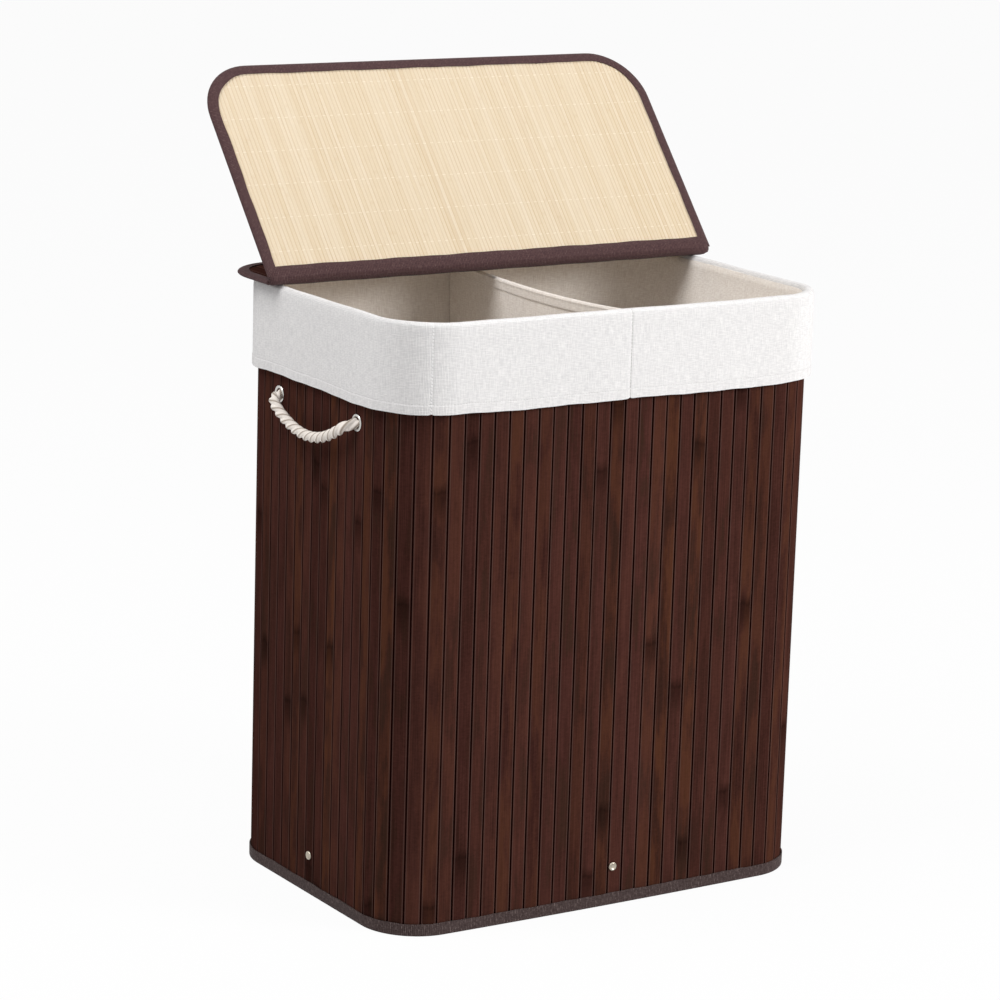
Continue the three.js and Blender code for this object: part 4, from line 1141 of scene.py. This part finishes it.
def lid_tape_grid(length):
    """C-shaped section of the folded tape, slightly puffed, carried round the lid's plan [section, plan]. Its
    sewn edges wander by sines of the distance round."""
    low = -lid_gap - lid_thickness + lid_tape / 2
    high = -lid_gap - lid_tape / 2
    lower = [(x, low + z) for x, z in lid_tape_puff]
    line = lower + [(-lid_tape_edge, (low + high) / 2)] + [(x, low + high - z) for x, z in lower[::-1]]
    section, travelled = ribbon(softened(line, lid_tape_step, 2), lid_tape)
    place, move, distance = lid_plan(length)
    wander = lid_tape_wander * (np.sin(distance[:-1] * 61) + 2 / 3 * np.sin(distance[:-1] * 139 + 1))
    out = section[:, :1] + wander * np.clip(-section[:, :1] / lid_tape_width, 0, 1)
    plan = place + out[..., None] * move
    height = np.broadcast_to(section[:, 1:], out.shape)
    return np.concatenate([plan, height[..., None]], axis=-1), uv_grid(distance, travelled)


def layer_grid(x, low, high, length, inset):
    """A layer inside the tape between two heights at each x: section by section across the lid, from the far
    edge to the hinge along its underside, and back along its top."""
    far = far_edge(x, length, inset)
    near = np.full(x.shape, -hinge_edge - inset)
    y = np.stack([far, near, near, far], axis=1)
    z = np.stack([np.broadcast_to(level, x.shape) for level in (low, low, high, high)], axis=1)
    return np.stack([np.repeat(x[:, None], 4, axis=1), y, z], axis=-1)


def mat_grid(length):
    """Splints side by side: across the lid the underside's height is a row of rounded ridges |sin|^0.7."""
    half = lid_half_width - mat_inset
    x = np.linspace(-half, half, splint_columns * splint_count + 1)
    place = np.minimum((x + half) / splint_pitch, splint_count - 0.5)
    ridge = np.abs(np.sin(pi * place)) ** 0.7
    level = chance.normal(0, splint_unevenness, splint_count)[place.astype(int)]
    low = mat_bottom + splint_round - splint_round * ridge + level
    points = layer_grid(x, low, mat_top, length, mat_inset)
    return points, plan_uv(points)


def lid_slat_grids(length):
    """Slats from the hinge to the far edge: each is the strip section carried along y and trimmed there."""
    half = lid_half_width - lid_inset
    count = 2 * round(half / nominal_slat_pitch)
    pitch = 2 * half / count
    section = strip_section(np.full(count, (pitch - slat_gap) / 2))
    x = section[..., 0] + (np.arange(count)[:, None] + 0.5) * pitch - half
    share = lid_slat_shares[None, :, None]
    near = -hinge_edge - lid_inset
    y = near + share * (far_edge(np.clip(x, -half, half), length, lid_inset)[:, None] - near)
    x = np.broadcast_to(x[:, None], y.shape)
    z = np.broadcast_to((lid_slat_top + section[..., 1] * lid_slat_depth / slat_depth)[:, None], y.shape)
    along = np.broadcast_to(share[..., 0] * length, (count, len(lid_slat_shares)))
    return np.stack([x, y, z], axis=-1), strip_uv(section, along)


def lid_backing_grid(length):
    """Thin dark cloth that the lid's slats are glued to: a flat sheet trimmed like them."""
    half = lid_half_width - lid_inset
    x = np.linspace(-half, half, backing_columns)
    points = layer_grid(x, mat_top, lid_slat_top - lid_slat_depth, length, lid_inset)
    return points, plan_uv(points)


def splints(name, dark, light, warm, binding):
    """Pale splints: a tone for each, fine grain along them, faint rows of the threads that bind the mat."""
    finish, start = new_finish(name)
    across, along = uv_parts(start)
    place = (across + lid_half_width - mat_inset) / splint_pitch
    drawn = drawn_for(start.maths("FLOOR", place), (0.21, 7.7, 19.3))
    grain = noise(vector(across * 1100, along * 14 + drawn[2] * 9), detail=3, roughness=0.65)
    cloud = noise(vector(across * 24, along * 5), detail=3)
    beside = abs(place % 1 - 0.5)
    tone = drawn[0] * 0.16 + grain * 0.6 + cloud * 0.14 + 0.05
    face = mixed(rise(tone, 0.05, 0.95), dark, light)
    face = mixed(rise(drawn[1], 0.88, 1) * 0.2, face, warm)
    # Painted shade in the grooves where neighbouring splints meet.
    face = mixed(rise(beside, 0.36, 0.48) * 0.8 * (0.35 + drawn[2] * 0.65), face, warm)
    node_place = abs((along * splint_nodes + drawn[2] * 13) % 1 - 0.5)
    face = mixed((1 - rise(node_place, 0, 0.012)) * 0.15, face, warm)
    row = abs((along / binding_spacing + 0.25 + grain * 0.02) % 1 - 0.5)
    over = rise(sine(across * (pi / splint_pitch)), -0.1, 0.3)
    thread = (1 - rise(row, 0.006, 0.016)) * over
    face = mixed(thread * 0.25, face, binding)
    polish = 0.55 + grain * 0.2
    relief = bumped(grain * 0.5 + thread * 0.8, splint_depth, 0.4)
    return dressed(finish, face, polish, relief, specular=0.15)


def opened(points):
    """Turns the flap's grid open about the hinge line: y cos + z sin, and z cos - y sin, of the angle."""
    x, y, z = np.moveaxis(points, -1, 0)
    opened_y = y * np.cos(open_angle) + z * np.sin(open_angle) + hinge_setback
    opened_z = z * np.cos(open_angle) - y * np.sin(open_angle) + hinge_height
    return np.stack([x, opened_y, opened_z], axis=-1)


def turned_back(points):
    """Turns the rear strip's grid half round, so that it lies behind the hinge line."""
    return points * (-1, -1, 1) + (0, hinge_setback, hinge_height)


plum_tape = ribbed_tape("plum_tape", colour("#38272a"), colour("#594241"), colour("#6a5452"))
pale_bamboo = splints(
    "pale_bamboo",
    dark=colour("#cab696"),
    light=colour("#dccfbb"),
    warm=colour("#bc9f78"),
    binding=colour("#fffaf0"),
)
lid_parts = (
    ("lid", "flap", "lid_flap", lid_half_depth + hinge_setback, opened),
    ("lid_rear", "strip", "hamper_body", lid_half_depth - hinge_setback, turned_back),
)
for node, name, body, length, placed in lid_parts:
    points, uv = lid_tape_grid(length)
    tape_mesh = grid_mesh(f"{name}_tape", placed(points), closed_rows=True, closed_columns=True, uv=uv)
    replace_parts(add_piece(tape_mesh, plum_tape, body), f"{node}_binding")
    points, uv = mat_grid(length)
    mat_mesh = grid_mesh(f"{name}_mat", placed(points), closed_columns=True, capped=True, uv=uv)
    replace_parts(add_piece(mat_mesh, pale_bamboo, body, smooth=False), f"{node}_mat")
    points, uv = lid_slat_grids(length)
    slat_mesh = grid_mesh(f"{name}_slats", placed(points), closed_columns=True, capped=True, uv=uv)
    slat_mesh.set_sharp_from_angle(angle=sharp_angle)
    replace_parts(add_piece(slat_mesh, dark_bamboo, body), f"{node}_slats")
    points, uv = lid_backing_grid(length)
    backing_mesh = grid_mesh(f"{name}_backing", placed(points), closed_columns=True, capped=True, uv=uv)
    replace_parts(add_piece(backing_mesh, dark_cloth, body, smooth=False), f"{node}_slats")


# Hinge: the flap turns on a fold of tape along the hinge line, and a wider tape covers the gap inside. It is
# sewn to the flap's face and to the strip's lower edge.
hinge_length_share = 0.992  # of the lid's width
hinge_columns = 140
hinge_wander = 0.0002
fold_radius = 0.0019
fold_around = 12
hinge_end = 0.009  # length of the rounded end
cover_step = 0.0015
cover_line = [  # (back, up) from the hinge line, from the flap's face to the strip's lower edge
    (-0.0004, 0.0096), (-0.0022, 0.0066), (-0.0041, 0.0034), (-0.0041, -0.0006),
    (-0.0022, -0.0038), (0.0014, -0.0056), (0.0055, -0.0062),
]
hinge_x = np.linspace(-lid_half_width, lid_half_width, hinge_columns) * hinge_length_share
hinge_z = hinge_height + hinge_wander * np.sin(hinge_x * 90)
beyond = np.clip((np.abs(hinge_x) - hinge_x[-1] + hinge_end) / hinge_end, 0, 1)
fullness = (0.5 + 0.5 * np.sqrt(1 - beyond**2))[:, None]  # both tapes narrow to half over a quarter ellipse
fold_path = np.stack([hinge_x, np.full(hinge_x.shape, hinge_setback), hinge_z], axis=1)
fold_points = tube_grid(fold_path, fold_radius * fullness * np.ones(fold_around))
fold_uv = uv_grid(np.linspace(0, 2 * pi * fold_radius, fold_around + 1), hinge_x)[..., ::-1]
fold_mesh = grid_mesh("hinge_fold", fold_points, closed_columns=True, capped=True, uv=fold_uv)
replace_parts(add_piece(fold_mesh, plum_tape), "lid_hinge_tape")

cover_section, travelled = ribbon(softened(cover_line, cover_step, 2), lid_tape)
cover_points = np.broadcast_arrays(
    hinge_x[:, None],
    hinge_setback + fullness * cover_section[None, :, 0],
    hinge_z[:, None] + fullness * cover_section[None, :, 1],
)
cover_uv = uv_grid(travelled, hinge_x)[..., ::-1]
cover_mesh = grid_mesh(
    "hinge_cover", np.stack(cover_points, axis=-1), closed_columns=True, capped=True, uv=cover_uv
)
hinge_cover = add_piece(cover_mesh, plum_tape, body=None)
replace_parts(hinge_cover, "lid_hinge_tape")
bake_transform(hinge_cover)
